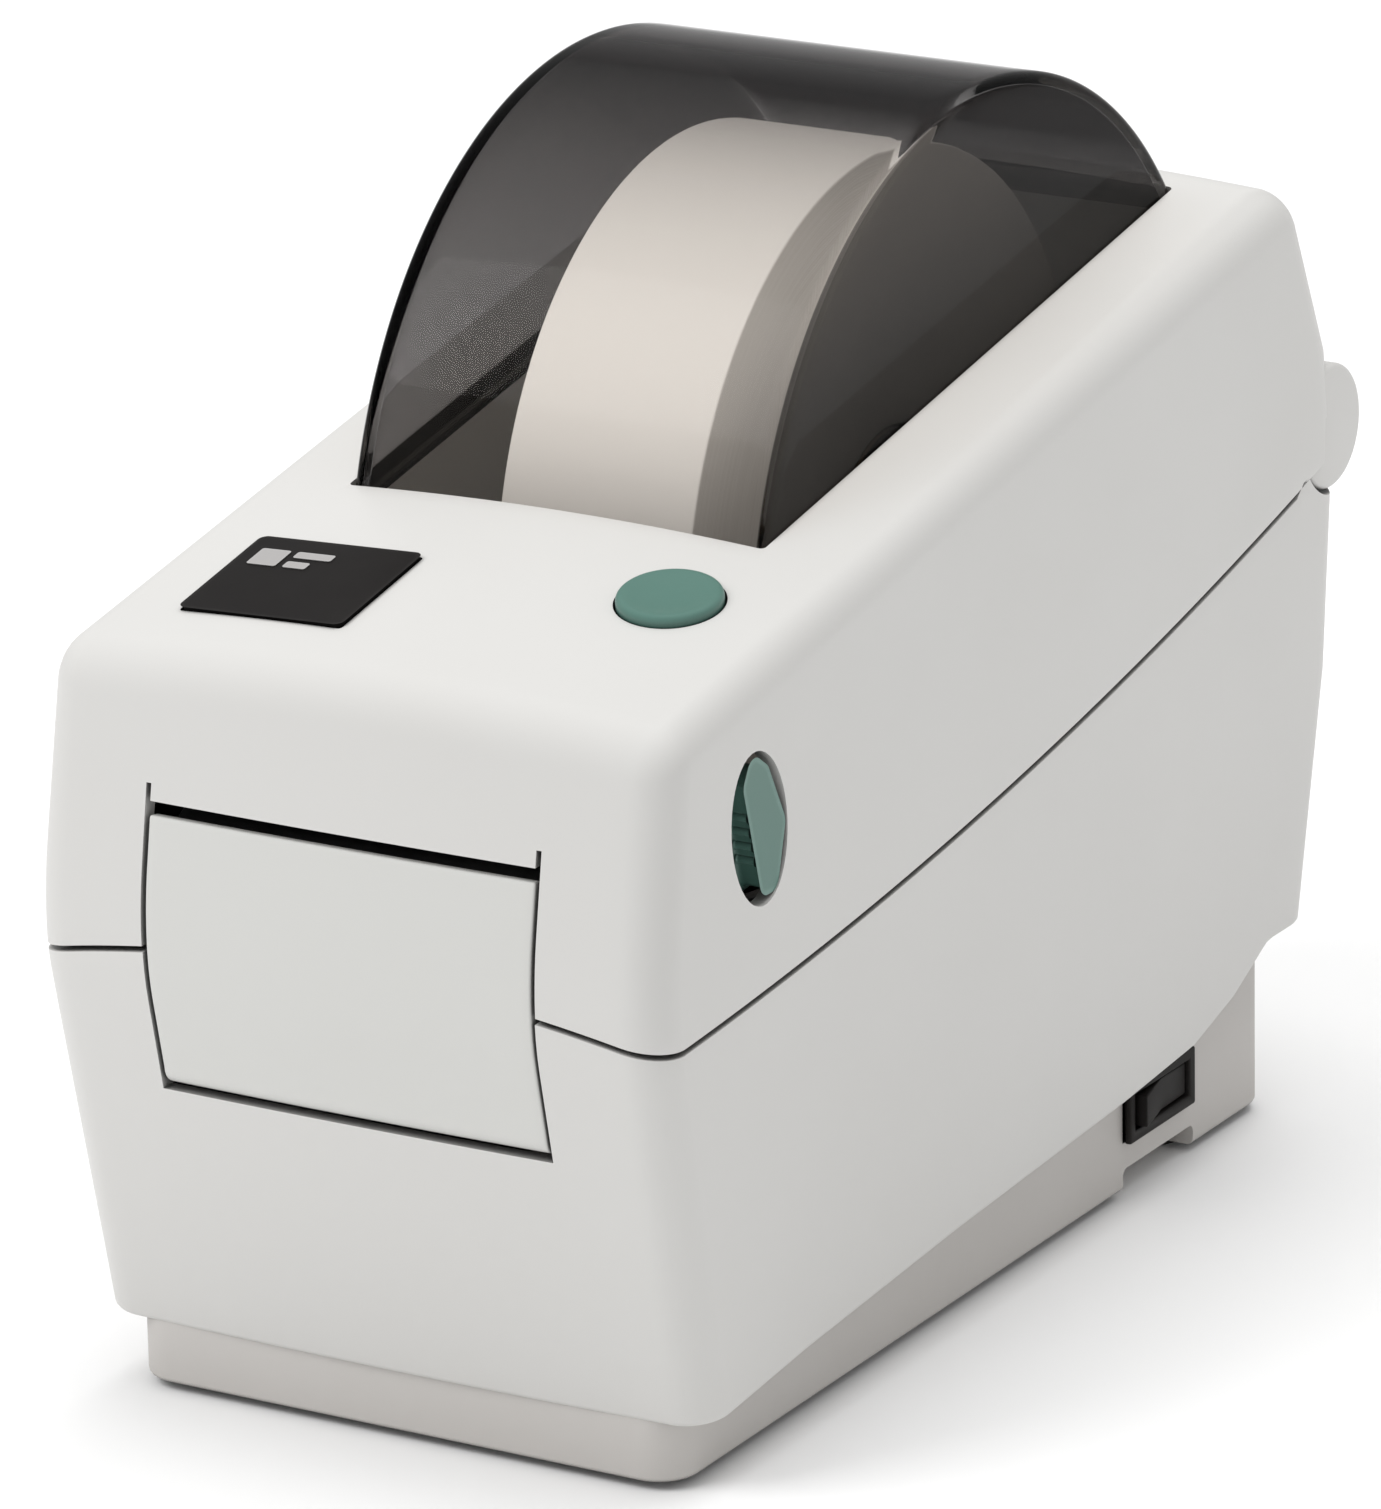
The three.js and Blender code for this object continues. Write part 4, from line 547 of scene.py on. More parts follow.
def paper_finish(name):
    """Coated paper: faint fibres, and on the flat ends of a roll the fine rings of its turns,
    which are a sawtooth of the distance from the axis of the roll."""
    material, tree, shader, base = finish(name, (0.90, 0.875, 0.83), (0.93, 0.91, 0.88), 0.62, grain=5200.0,
                                          depth=0.4, soil=0.03, soil_colour=(0.6, 0.55, 0.47), wear=0.2)
    centre = (0, (ROLL_S - DEPTH / 2) / 1000, ROLL_Z / 1000)
    place = object_place(tree, centre=centre)
    parts = add(tree, "ShaderNodeSeparateXYZ", {0: place}).outputs
    radius = maths(tree, "SQRT", maths(tree, "ADD", maths(tree, "MULTIPLY", parts[1], parts[1]),
                                       maths(tree, "MULTIPLY", parts[2], parts[2])))
    turns = maths(tree, "FRACT", maths(tree, "MULTIPLY", radius, 2400.0))
    uneven = noise(tree, 1.0, 3, add(tree, "ShaderNodeCombineXYZ",
                                     {0: maths(tree, "MULTIPLY", radius, 1500.0)}).outputs[0])
    normal = add(tree, "ShaderNodeSeparateXYZ",
                 {0: add(tree, "ShaderNodeNewGeometry").outputs["Normal"]}).outputs[0]
    end = maths(tree, "GREATER_THAN", maths(tree, "ABSOLUTE", normal), 0.7)
    shade = maths(tree, "ADD", maths(tree, "MULTIPLY", turns, 0.22), maths(tree, "MULTIPLY", uneven, 0.5))
    colour = blend_colour(tree, maths(tree, "MULTIPLY", end, shade), base, rgba((0.50, 0.45, 0.39)))
    tree.links.new(colour, shader.inputs["Base Color"])
    return material


paper_finish("label_paper")


def card_finish(name):
    """Core card: slanting lines of its wound strips, as a sine of X plus the angle, and fibres."""
    material, tree, shader, base = finish(name, (0.42, 0.31, 0.20), (0.55, 0.43, 0.30), 0.85, grain=2200.0,
                                          depth=0.6, soil=0.15)
    slant = object_place(tree, turn=(0.0, 0.5, 0.0))
    wave = add(tree, "ShaderNodeTexWave", {"Vector": slant, "Scale": 60.0, "Distortion": 1.5,
                                           "Detail": 2.0})
    colour = blend_colour(tree, maths(tree, "MULTIPLY", wave.outputs["Fac"], 0.35), base,
                          rgba((0.26, 0.18, 0.11)))
    tree.links.new(colour, shader.inputs["Base Color"])


card_finish("core_card")


def board_finish(name):
    """Circuit board: green mask with paler tracks that follow the walls of square cells."""
    material, tree, shader, base = finish(name, (0.035, 0.17, 0.085), (0.3, 0.34, 0.22), 0.3, grain=800.0,
                                          depth=0.1, soil=0.06)
    cells = add(tree, "ShaderNodeTexVoronoi", {"Vector": object_place(tree), "Scale": 260.0},
                distance="MANHATTAN", feature="F1")
    track = maths(tree, "LESS_THAN", maths(tree, "PINGPONG", cells.outputs["Distance"], 0.16), 0.035)
    colour = blend_colour(tree, maths(tree, "MULTIPLY", track, 0.6), base, rgba((0.12, 0.34, 0.17)))
    tree.links.new(colour, shader.inputs["Base Color"])


board_finish("board")


def window_finish(name):
    """Smoked clear plastic. Lamps and soft light pass it straight, so what is inside is lit."""
    material = bpy.data.materials.new(name)
    material.use_nodes = True
    tree = material.node_tree
    shader = next(n for n in tree.nodes if n.type == "BSDF_PRINCIPLED")
    out = next(n for n in tree.nodes if n.type == "OUTPUT_MATERIAL")
    place = object_place(tree)
    facing = add(tree, "ShaderNodeLayerWeight", {"Blend": 0.5}).outputs["Facing"]
    depth = maths(tree, "SUBTRACT", 1.22, maths(tree, "MULTIPLY", facing, 1.95), True)
    normal = add(tree, "ShaderNodeSeparateXYZ",
                 {0: add(tree, "ShaderNodeNewGeometry").outputs["Normal"]}).outputs[0]
    side = maths(tree, "GREATER_THAN", maths(tree, "ABSOLUTE", normal), 0.8)
    thin = maths(tree, "SUBTRACT", 1.0, maths(tree, "MULTIPLY", side, 0.52))
    uneven = maths(tree, "ADD", maths(tree, "MULTIPLY", noise(tree, 6.0, 2, place), 0.10), 0.80)
    depth = maths(tree, "MULTIPLY", maths(tree, "MULTIPLY", depth, thin), uneven, True)
    tint = blend_colour(tree, depth, rgba((0.012, 0.009, 0.009)), rgba((0.95, 0.93, 0.92)))
    tree.links.new(tint, shader.inputs["Base Color"])
    smear = maths(tree, "MULTIPLY", maths(tree, "POWER", noise(tree, 19, 4, place, 0.6), 3.0), 0.12, True)
    tree.links.new(maths(tree, "ADD", smear, 0.015), shader.inputs["Roughness"])
    shader.inputs["Transmission Weight"].default_value = 1.0
    shader.inputs["IOR"].default_value = 1.12
    clear = add(tree, "ShaderNodeBsdfTransparent", {"Color": (0.93, 0.92, 0.91, 1)})
    path = add(tree, "ShaderNodeLightPath")
    lamps = maths(tree, "MAXIMUM", path.outputs["Is Shadow Ray"], path.outputs["Is Diffuse Ray"])
    mix = add(tree, "ShaderNodeMixShader", {0: lamps, 1: shader.outputs[0], 2: clear.outputs[0]})
    tree.links.new(mix.outputs[0], out.inputs["Surface"])
    MATERIALS[name] = material


window_finish("smoked_window")


def hand_over(obj, body, slot, *nodes, finish_name=None):
    """Gives the piece its finish, named by finish_name or else by slot, puts it in its body, and hides the
    CAD nodes that it stands for.
    """
    obj.data.materials.clear()
    obj.data.materials.append(MATERIALS[finish_name or slot])
    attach(obj, body)
    if nodes:
        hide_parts(*nodes)
    return obj


# ---------------------------------------------------------------------------
# Outer form
# ---------------------------------------------------------------------------
BULGE = np.linspace(0, 1, 13)
BULGE_S = (1 - BULGE) ** 2 * 1 + 2 * BULGE * (1 - BULGE) * -0.7 + BULGE**2 * 0.7
BULGE_Z = (1 - BULGE) ** 2 * 62.8 + 2 * BULGE * (1 - BULGE) * 70.8 + BULGE**2 * 80.8


def front_at(z):
    """The front wall from the side: a straight lean, a shallow bulge and a straight lean back."""
    return np.interp(z, np.r_[0, BULGE_Z, 111.2, 131.2], np.r_[14.4, BULGE_S, 5.7, 9.0])


def rear_at(z):
    """The rear wall from the side, straight between its five heights."""
    back = np.array([-9.5, -6.5, 0.5, 3.5, 3.5, 2.0, -10.3, -14.0])
    return HINGE_S + np.interp(z, [0, 29.4, 66.8, 92.8, 99.8, 114.8, 144.7, 152.0], back)


def side_at(z):
    """Half the width: widest at the parting height, and less in step with the distance from it."""
    return HALF - np.abs(z - PARTING) / PARTING


def stops(front=30, corner=9, side=84, rear=30):
    """Once round a rounded rectangle seen from above. For each stop: how far across (-1 to 1),
    how far back (0 to 1) and the angle that it faces."""
    def run(x0, x1, t0, t1, a0, a1, n):
        k = np.linspace(0, 1, n, endpoint=False)
        return np.stack([x0 + (x1 - x0) * k, t0 + (t1 - t0) * k, a0 + (a1 - a0) * k])
    parts = [run(-1, 1, 0, 0, -90, -90, front), run(1, 1, 0, 0, -90, 0, corner),
             run(1, 1, 0, 1, 0, 0, side), run(1, 1, 1, 1, 0, 90, corner),
             run(1, -1, 1, 1, 90, 90, rear), run(-1, -1, 1, 1, 90, 180, corner),
             run(-1, -1, 1, 0, 180, 180, side), run(-1, -1, 0, 0, 180, 270, corner)]
    across, back, angle = np.concatenate(parts, axis=1)
    return across, back, np.radians(angle)


def ring(where, half, front, rear, r_front, r_rear):
    """Corner centres drawn in by the corner's radius, then the radius added where each stop faces."""
    across, back, angle = where
    radius = r_front + (r_rear - r_front) * back
    x = across * (half - radius) + radius * np.cos(angle)
    s = (front + radius) * (1 - back) + (rear - radius) * back + radius * np.sin(angle)
    return x, s


def outer_wall(where, z):
    """The outer wall at height z, with the front bowed forward in its middle."""
    x, s = ring(where, side_at(z), front_at(z), rear_at(z), FRONT_CORNER, REAR_CORNER)
    return x, s + BOW * (x / HALF) ** 2 * (1 - ramp(s, 20, DECK))


def parting_at(x, s):
    """The parting line: a curve that climbs to the rear as 0.37 t + 0.63 t squared, bowed up in front."""
    t = np.maximum(0, s - 7.5) / (HINGE_S - 7.5)
    climb = (ROLL_Z - 4 - PARTING) * (0.37 * t + 0.63 * t**2)
    return PARTING + climb + PARTING_BOW * (1 - (x / HALF) ** 2) * (1 - ramp(s, 12, DECK))


def rim(where, height_of):
    """Height of an edge round the wall, found by going between the wall and the edge's own rule."""
    z = np.full(len(where[0]), PARTING)
    for _ in range(6):
        x, s = outer_wall(where, z)
        z = height_of(x, s)
    return z


def lever_oval(grow=0.0, count=40):
    """The opening for a latch lever: an upright oval that leans by 7 degrees."""
    angle = np.linspace(0, 2 * math.pi, count, endpoint=False)
    a, b = (7.3 + grow) * np.cos(angle), (11 + grow) * np.sin(angle)
    lean = math.radians(7)
    return np.stack([LATCH[0] + 1.6 + a * math.cos(lean) - b * math.sin(lean),
                     LATCH[1] - 9.4 + a * math.sin(lean) + b * math.cos(lean)], axis=-1)


def lid_shell():
    """The lid as one skin from the parting line to the edge of the window opening.
    Up the wall, round the top edge on an arc that starts along the wall and ends along the top,
    then in to the window in straight lines seen from above, on the crowned and sloping top."""
    where = stops()
    across, back, angle = where
    edge = rim(where, lambda x, s: np.where(s > HINGE_S - 3, np.maximum(parting_at(x, s) + SEAM, 104.8),
                                            parting_at(x, s) + SEAM))
    front_share = np.clip(-np.sin(angle), 0, 1)
    rear_share = np.clip(np.sin(angle), 0, 1)
    radius = (SIDE_EDGE + (FRONT_EDGE - SIDE_EDGE) * front_share
              + (REAR_EDGE - SIDE_EDGE) * rear_share)
    lean = FRONT_LEAN * front_share + REAR_LEAN * rear_share
    fall = 1.8 * CROWN / HALF      # slope of the crown where the long edges meet it
    slope = RISE * -np.sin(angle) + fall * np.abs(np.cos(angle))
    last = np.arctan2(1, slope)

    def turned(share, start):
        """The skin at one share of the turn from wall to top. The four sides draw in by their own
        amounts, and the plan's corners tighten with them."""
        def drawn_in(reach, first, out):
            return reach * (math.cos(first) - math.cos(first + (math.atan2(1, out) - first) * share))
        side_in = drawn_in(SIDE_EDGE, 0, fall)
        front_in = drawn_in(FRONT_EDGE, FRONT_LEAN, RISE)
        rear_in = drawn_in(REAR_EDGE, REAR_LEAN, -RISE)
        x, s = ring(where, side_at(start) - side_in, front_at(start) + front_in,
                    rear_at(start) - rear_in, max(FRONT_CORNER - (front_in + side_in) / 2, 0.7),
                    max(REAR_CORNER - (rear_in + side_in) / 2, 0.7))
        s = s + BOW * (x / HALF) ** 2 * (1 - ramp(s, 20, DECK))
        return x, s, start + radius * (np.sin(lean + (last - lean) * share) - np.sin(lean))

    start = np.full(len(across), 112.0)
    for _ in range(12):
        ex, es, ez = turned(1.0, start)
        start = start + (top_at(ex, es) - ez)
    up = np.linspace(0, 1, 16)[:, None]
    z_wall = edge + (start - edge) * up
    x_wall, s_wall = outer_wall(where, z_wall)
    arc = np.array([turned(share, start) for share in np.linspace(0, 1, 12)[1:]])
    x_arc, s_arc, z_arc = arc[:, 0], arc[:, 1], arc[:, 2]
    wx, ws = ring(where, WINDOW_HALF + 0.3, DECK - 0.3, WINDOW_REAR + 0.3, 0.8, 0.8)
    inward = np.linspace(0, 1, 17)[1:, None]
    x_top, s_top = x_arc[-1] + (wx - x_arc[-1]) * inward, s_arc[-1] + (ws - s_arc[-1]) * inward
    x, s = np.vstack([x_wall, x_arc, x_top]), np.vstack([s_wall, s_arc, s_top])
    z = np.vstack([z_wall, z_arc, top_at(x_top, s_top)])
    shell = face_out(surface("lid_shell", np.stack([x, s, z], -1), closed=True), inner=(0, 100, 100))
    thicken(shell, WALL)
    round_edges(shell, 0.35, 2, 50)
    settle(shell)
    cuts = [block(-DOOR_HALF - DOOR_GAP, DOOR_HALF + DOOR_GAP, -5, 9, 0, SLOT_TOP)]
    for side in (-1, 1):
        tick = side * (DOOR_HALF + DOOR_GAP / 2)
        cuts.append(block(tick - 0.4, tick + 0.4, -5, 9, 60, SLOT_TOP + 2.4))
        ends = sorted([side * (HALF - WALL - 2), side * (HALF + 2)])
        cuts.append(bar("cut", lever_oval(), *ends, soft=THIN, steps=1))
        near, far = sorted([side * (KNUCKLE[0] - 0.3), side * LAST_KNUCKLE[0]])
        room = BARREL + 0.6
        cuts.append(spun("cut", [(0, near), (room, near), (room, far), (0, far)],
                         along_x(HINGE_S, ROLL_Z)))
    cuts.append(spun("cut", [(0, -6), (7.75, -6), (7.75, 5), (0, 5)], on_top(*BUTTON)))
    half, length = (size + 0.3 for size in BADGE_SIZE)
    cuts.append(bar("cut", rectangle(-half, half, -length, length, 0.6), -0.9, 5, soft=THIN, steps=1,
                    plane="plan", matrix=on_top(*BADGE)))
    return carve(shell, cuts)


hand_over(lid_shell(), "lid", "white_plastic", "top_housing")


def barrel(name, x0, x1, radius, soft=0.9):
    """A hinge knuckle: a round bar along X whose ends are turned down by a quarter circle."""
    k = np.linspace(0, math.pi / 2, 6)
    near = np.stack([radius - soft + soft * np.sin(k), x0 + soft - soft * np.cos(k)], -1)
    far = np.stack([radius - soft + soft * np.cos(k), x1 - soft + soft * np.sin(k)], -1)
    return spun(name, np.vstack([near, far]), along_x(HINGE_S, ROLL_Z), 96)


def lid_barrel():
    """The lid's three knuckles: a long one in the middle and a short one at each end."""
    inner, outer = LAST_KNUCKLE
    middle = KNUCKLE[0] - 0.3
    spans = ((-middle, middle), (inner, outer), (-outer, -inner))
    return joined("lid_barrel", [barrel("k", *span, BARREL) for span in spans])


hand_over(lid_barrel(), "lid", "white_plastic")


def skirt_at(s):
    """Lower edge of the base shell: low in front, sweeping up to the rear in straight runs."""
    return np.interp(s, [-20, 10, 40, 82, 132, HINGE_S - 44, HINGE_S - 32, HINGE_S - 21, HINGE_S + 30],
                     [7.5, 10, 13, 16, 18.6, 20.4, 24, 29.4, 29.4])


def base_shell():
    """The base as one skin: round the lower edge by a quarter circle, then up the wall to the
    parting line."""
    where = stops()
    angle = where[2]
    low = rim(where, lambda x, s: skirt_at(s))
    high = rim(where, lambda x, s: np.where(s > HINGE_S - 10.4, 97.2, parting_at(x, s) - SEAM))
    soft = 0.8
    k = np.linspace(0, math.pi / 2, 7)[:, None]
    z_turn = low + soft * (1 - np.cos(k))
    x_turn, s_turn = outer_wall(where, z_turn)
    inset = soft * (1 - np.sin(k))
    x_turn, s_turn = x_turn - inset * np.cos(angle), s_turn - inset * np.sin(angle)
    up = np.linspace(0, 1, 25)[1:, None]
    z_wall = z_turn[-1] + (high - z_turn[-1]) * up
    x_wall, s_wall = outer_wall(where, z_wall)
    x, s, z = np.vstack([x_turn, x_wall]), np.vstack([s_turn, s_wall]), np.vstack([z_turn, z_wall])
    shell = face_out(surface("base_shell", np.stack([x, s, z], -1), closed=True), inner=(0, 100, 70))
    thicken(shell, WALL, False)
    round_edges(shell, 0.35, 2, 50)
    settle(shell)
    cuts = [block(-DOOR_HALF - DOOR_GAP, DOOR_HALF + DOOR_GAP, -5, 9, DOOR_FOOT - 0.75, 110),
            spun("cut", [(0, -60), (CRADLE, -60), (CRADLE, 60), (0, 60)], along_x(HINGE_S, ROLL_Z), 96)]
    for x0, x1, height in CONNECTORS:
        cuts.append(bar("cut", rectangle(x0 - 0.6, x1 + 0.6, 35.6, 36.8 + height, 1.2), HINGE_S - 14,
                        HINGE_S + 6, soft=THIN, steps=1, plane="face"))
    for side in (-1, 1):
        ends = sorted([side * (HALF - WALL - 2), side * (HALF + 2)])
        cuts.append(bar("cut", lever_oval(), *ends, soft=THIN, steps=1))
    return carve(shell, cuts)


def base_ledge():
    """The flat ledge that closes the base's lower edge to the pan: a band four corners thick, from
    inside the wall to just clear of the pan. In front, where the two meet, it has no width."""
    where = stops()
    low = rim(where, lambda x, s: skirt_at(s))
    wall_x, wall_s = outer_wall(where, low)
    wall_x, wall_s = wall_x - 1.2 * np.cos(where[2]), wall_s - 1.2 * np.sin(where[2])
    half, front = PAN_HALF + 0.4, max(PAN_FRONT - 0.4, 13.6)
    in_x, in_s = ring(where, half, front, PAN_REAR + 0.4, 6.4, 6.4)
    rows = [np.stack(place, -1) for place in ((in_x, in_s, low + 0.25), (wall_x, wall_s, low + 0.25),
                                              (wall_x, wall_s, low + 2), (in_x, in_s, low + 2))]
    return face_out(surface("base_ledge", np.stack(rows + rows[:1]), closed=True))


hand_over(joined("base_outside", [base_shell(), base_ledge()]), "base", "white_plastic", "base_housing")


def base_knuckles():
    """The two knuckles of the base, each a round bar with a web under it down to the rear wall."""
    parts = []
    for x0, x1 in ((-KNUCKLE[1], -KNUCKLE[0]), KNUCKLE):
        parts.append(barrel("k", x0, x1, BASE_KNUCKLE, 0.8))
        web = corners_rounded([(HINGE_S - 8.8, 84.8), (HINGE_S + 3.2, 84.8), (HINGE_S + 5.5, 96),
                               (HINGE_S + 5.5, 103), (HINGE_S - 8.8, 103)], 0.8)
        parts.append(bar("k", web, x0, x1, 0.8))
    return joined("base_knuckles", parts)


hand_over(base_knuckles(), "base", "white_plastic")


def pan_shell():
    """The pan: a rounded rectangle carried up the outside, over the rim and down inside to the floor."""
    where = stops(16, 8, 40, 16)
    k = np.linspace(0, math.pi / 2, 5)
    foot = np.stack([0.9 - 0.9 * np.sin(k), 1.2 + 0.9 - 0.9 * np.cos(k)], -1)
    lip = np.stack([1 - np.cos(2 * k), PAN_TOP - 1 + np.sin(2 * k)], -1)
    profile = np.vstack([foot, lip, [[2, 5.0], [2.6, 3.8], [3.4, 3.6]]])
    rows = []
    for inset, z in profile:
        x, s = ring(where, PAN_HALF - inset, PAN_FRONT + inset, PAN_REAR - inset, 6 - inset, 6 - inset)
        rows.append(np.stack([x, s, np.full_like(x, z)], -1))
    pan = face_out(surface("pan", np.stack(rows), closed=True, poles=True))
    s0, s1, z0, z1 = SWITCH
    pan = carve(pan, [block(-PAN_HALF + 1, PAN_HALF - 1, s0 - 2, s1 + 4, 3, 6.6)], "UNION")
    cuts = [bar("cut", corners_rounded([(s0 + 0.5, -2), (s1 + 1.5, -2), (s1 + 2, 4.5), (s0, 4.5)], 1.2),
                -60, 60, THIN, 1),
            block(PAN_HALF - 6, PAN_HALF + 6, s0, s1, z0, z1),
            block(-60, 60, PAN_REAR - 4, PAN_REAR + 5, 28.6, 60)]
    return carve(pan, cuts)


hand_over(pan_shell(), "base", "pan_plastic", "base_pan")


def hood():
    """The smoked window. Seen from the side each line of it runs out from the roll's axis: up a
    flat side from the chord under the lid's top, round a 2 mm corner, then across the arc."""
    chord = TOP + RISE * ROLL_S - CROWN * (WINDOW_HALF / HALF) ** 2 - 3.2 - ROLL_Z

    def down_to(angle):
        return chord / (np.sin(angle) - RISE * np.cos(angle))

    sweep = np.linspace(0.01, math.pi - 0.01, 4000)
    inside = sweep[(down_to(sweep) > 0) & (down_to(sweep) < WINDOW_RADIUS - 0.3)]
    angle = np.linspace(inside[0], inside[-1], 110)[:, None]
    low = down_to(angle)
    soft = 2.2
    k = np.linspace(0, math.pi / 2, 7)
    corner_x = WINDOW_HALF - soft + soft * np.cos(k)
    corner_r = WINDOW_RADIUS - soft + soft * np.sin(k)
    wall = np.linspace(0, 1, 9)[:-1]
    r_wall = low + np.maximum(WINDOW_RADIUS - soft - low, 0) * wall
    r_corner = np.maximum(np.broadcast_to(corner_r, (len(angle), 7)), low)
    flat_x = np.linspace(WINDOW_HALF - soft, soft - WINDOW_HALF, 31)[1:-1]
    r_flat = np.full((len(angle), len(flat_x)), WINDOW_RADIUS)
    radius = np.hstack([r_wall, r_corner, r_flat, r_corner[:, ::-1], r_wall[:, ::-1]])
    wall_x = np.full(len(wall), WINDOW_HALF)
    x = np.concatenate([wall_x, corner_x, flat_x, -corner_x[::-1], -wall_x])
    points = np.stack([np.broadcast_to(x, radius.shape), ROLL_S + radius * np.cos(angle),
                       ROLL_Z + radius * np.sin(angle)], -1)
    shell = face_out(surface("hood", points), inner=(0, ROLL_S, ROLL_Z))
    thicken(shell, 2.0)
    return settle(shell, 28)


hand_over(hood(), "lid", "smoked_window", "hood_window")


def front_door():
    """The door in front: it follows the front wall's lean, bulge and bow, and is rolled under
    at its foot round the pin."""
    z = np.linspace(DOOR_FOOT + DOOR_ROLL, DOOR_TOP, 40)[:, None]
    x = np.linspace(-DOOR_HALF, DOOR_HALF, 45)[None, :]
    s = front_at(z) + BOW * (x / HALF) ** 2
    skin = np.stack([np.broadcast_to(x, s.shape), s, np.broadcast_to(z, s.shape)], -1)
    angle = np.linspace(-math.pi * 0.62, 0, 9)[:-1, None]
    foot_s = front_at(DOOR_FOOT + DOOR_ROLL) + BOW * (x / HALF) ** 2
    rs = foot_s + DOOR_ROLL * (1 - np.cos(angle))
    rz = DOOR_FOOT + DOOR_ROLL * (1 + np.sin(angle))
    under = np.stack([np.broadcast_to(x, rs.shape), rs, np.broadcast_to(rz, rs.shape)], -1)
    door = face_out(surface("door", np.vstack([under, skin])), inner=(0, 30, 70))
    thicken(door, 2.0)
    round_edges(door, 0.45, 3, 50)
    return settle(door)


hand_over(front_door(), "door", "door_plastic", "front_door")


def lever(side):
    """A latch lever: a leaning leaf-shaped outline carried outwards, its outer edge rounded,
    with four round ribs across its front for the finger."""
    outline = corners_rounded([(25.6, 98.2), (27.4, 101.4), (30.6, 99.1), (34.8, 90.8), (32.6, 82.6),
                               (29.8, 82.6)], 1.2, 6)
    ends = sorted([side * LEVER_SPAN[0], side * LEVER_SPAN[1]])
    parts = [bar("lever", outline, *ends, soft=0.9)]
    for share in (0.28, 0.42, 0.56, 0.70):
        s, z = 29.9 - 4.2 * share, 82.6 + 15.6 * share
        rib = np.linspace(0, 2 * math.pi, 14, endpoint=False)
        rib = np.stack([s + 0.6 * np.cos(rib), z + 0.6 * np.sin(rib)], -1)
        parts.append(bar("rib", rib, ends[0] + 0.5, ends[1] - 0.5, 0.25))
    return joined("latch_lever", parts)


hand_over(settle(lever(1)), "latch", "green_plastic", "latch_lever_right")
hand_over(settle(lever(-1)), "latch", "green_plastic", "latch_lever_left")


def box_of(node):
    """The lowest and highest corner of a CAD node, in millimetres with s from the front."""
    low, high = (np.array(corner) * 1000 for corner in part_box(node))
    low[1] += DEPTH / 2
    high[1] += DEPTH / 2
    return low, high


def feed_button():
    """The feed button: a round key with a shallow dish in its top and a flange under the lid."""
    k = np.linspace(0, math.pi / 2, 7)
    edge = np.stack([6.5 + 0.9 * np.cos(k), 0.5 + 0.9 * np.sin(k)], -1)
    r = np.linspace(6.2, 0, 9)
    dish = np.stack([r, 1.4 - 0.5 * (1 - (r / 6.2) ** 2)], -1)
    profile = np.vstack([[[8.6, -5.0], [8.6, -3.8], [7.4, -3.8]], edge, dish[:-1]])
    return spun("feed_button", profile, on_top(*BUTTON), 96)


hand_over(settle(feed_button()), "feed_key", "green_plastic", "feed_button")


def badge():
    """The badge: a plate with rounded corners and edge, set in its pocket."""
    half, length = BADGE_SIZE
    return bar("badge", rectangle(-half, half, -length, length, 0.9), -0.85, 0.5, soft=0.4, plane="plan",
               matrix=on_top(*BADGE))


hand_over(badge(), "lid", "black_plastic", "badge_plate")


def badge_mark():
    """A plain mark on the badge: a small square tile and two short bars beside it."""
    parts = [bar("m", rectangle(x0, x1, s0, s1, 0.35), 0.45, 0.62, soft=0.05, steps=2, plane="plan",
                 matrix=on_top(*BADGE))
             for x0, x1, s0, s1 in ((-10.6, -6.0, 2.8, 7.4), (-4.8, 1.2, 5.7, 7.4), (-4.8, -1.2, 2.8, 4.5))]
    return joined("badge_mark", parts)


hand_over(badge_mark(), "lid", "black_plastic", finish_name="badge_grey")


def hollow_turned(name, outline, matrix, sides=128):
    """A closed outline of (radius, height) turned once round: a ring with a bore."""
    outline = np.vstack([outline, outline[:1]])
    angle = np.linspace(0, 2 * math.pi, sides, endpoint=False)
    points = np.stack([outline[:, :1] * np.cos(angle), outline[:, :1] * np.sin(angle),
                       np.broadcast_to(outline[:, 1:], (len(outline), sides))], axis=-1)
    return settle(face_out(surface(name, moved(points, matrix), closed=True)))


roll_low, roll_high = box_of("label_roll")
roll_half, roll_radius = roll_high[0], (roll_high[2] - roll_low[2]) / 2
hand_over(hollow_turned("label_roll", rectangle(14.9, roll_radius, -roll_half, roll_half, 0.35, 3),
                        along_x(ROLL_S, ROLL_Z), 192), "roll", "label_paper", "label_roll")
core_low, core_high = box_of("roll_core")
hand_over(hollow_turned("roll_core", rectangle(12.8, 14.5, core_low[0], core_high[0], 0.3, 3),
                        along_x(ROLL_S, ROLL_Z), 128), "roll", "core_card", "roll_core")


def platen():
    """The rubber roller: a round bar whose ends are turned down a little."""
    low, high = box_of("platen_roller")
    mid = (low + high) / 2
    radius, k = (high[2] - low[2]) / 2, np.linspace(0, math.pi / 2, 5)
    near = np.stack([radius - 0.5 + 0.5 * np.sin(k), low[0] + 0.5 - 0.5 * np.cos(k)], -1)
    far = np.stack([radius - 0.5 + 0.5 * np.cos(k), high[0] - 0.5 + 0.5 * np.sin(k)], -1)
    return settle(spun("platen_roller", np.vstack([near, far]), along_x(mid[1], mid[2]), 96))


hand_over(platen(), "platen", "platen_rubber", "platen_roller")


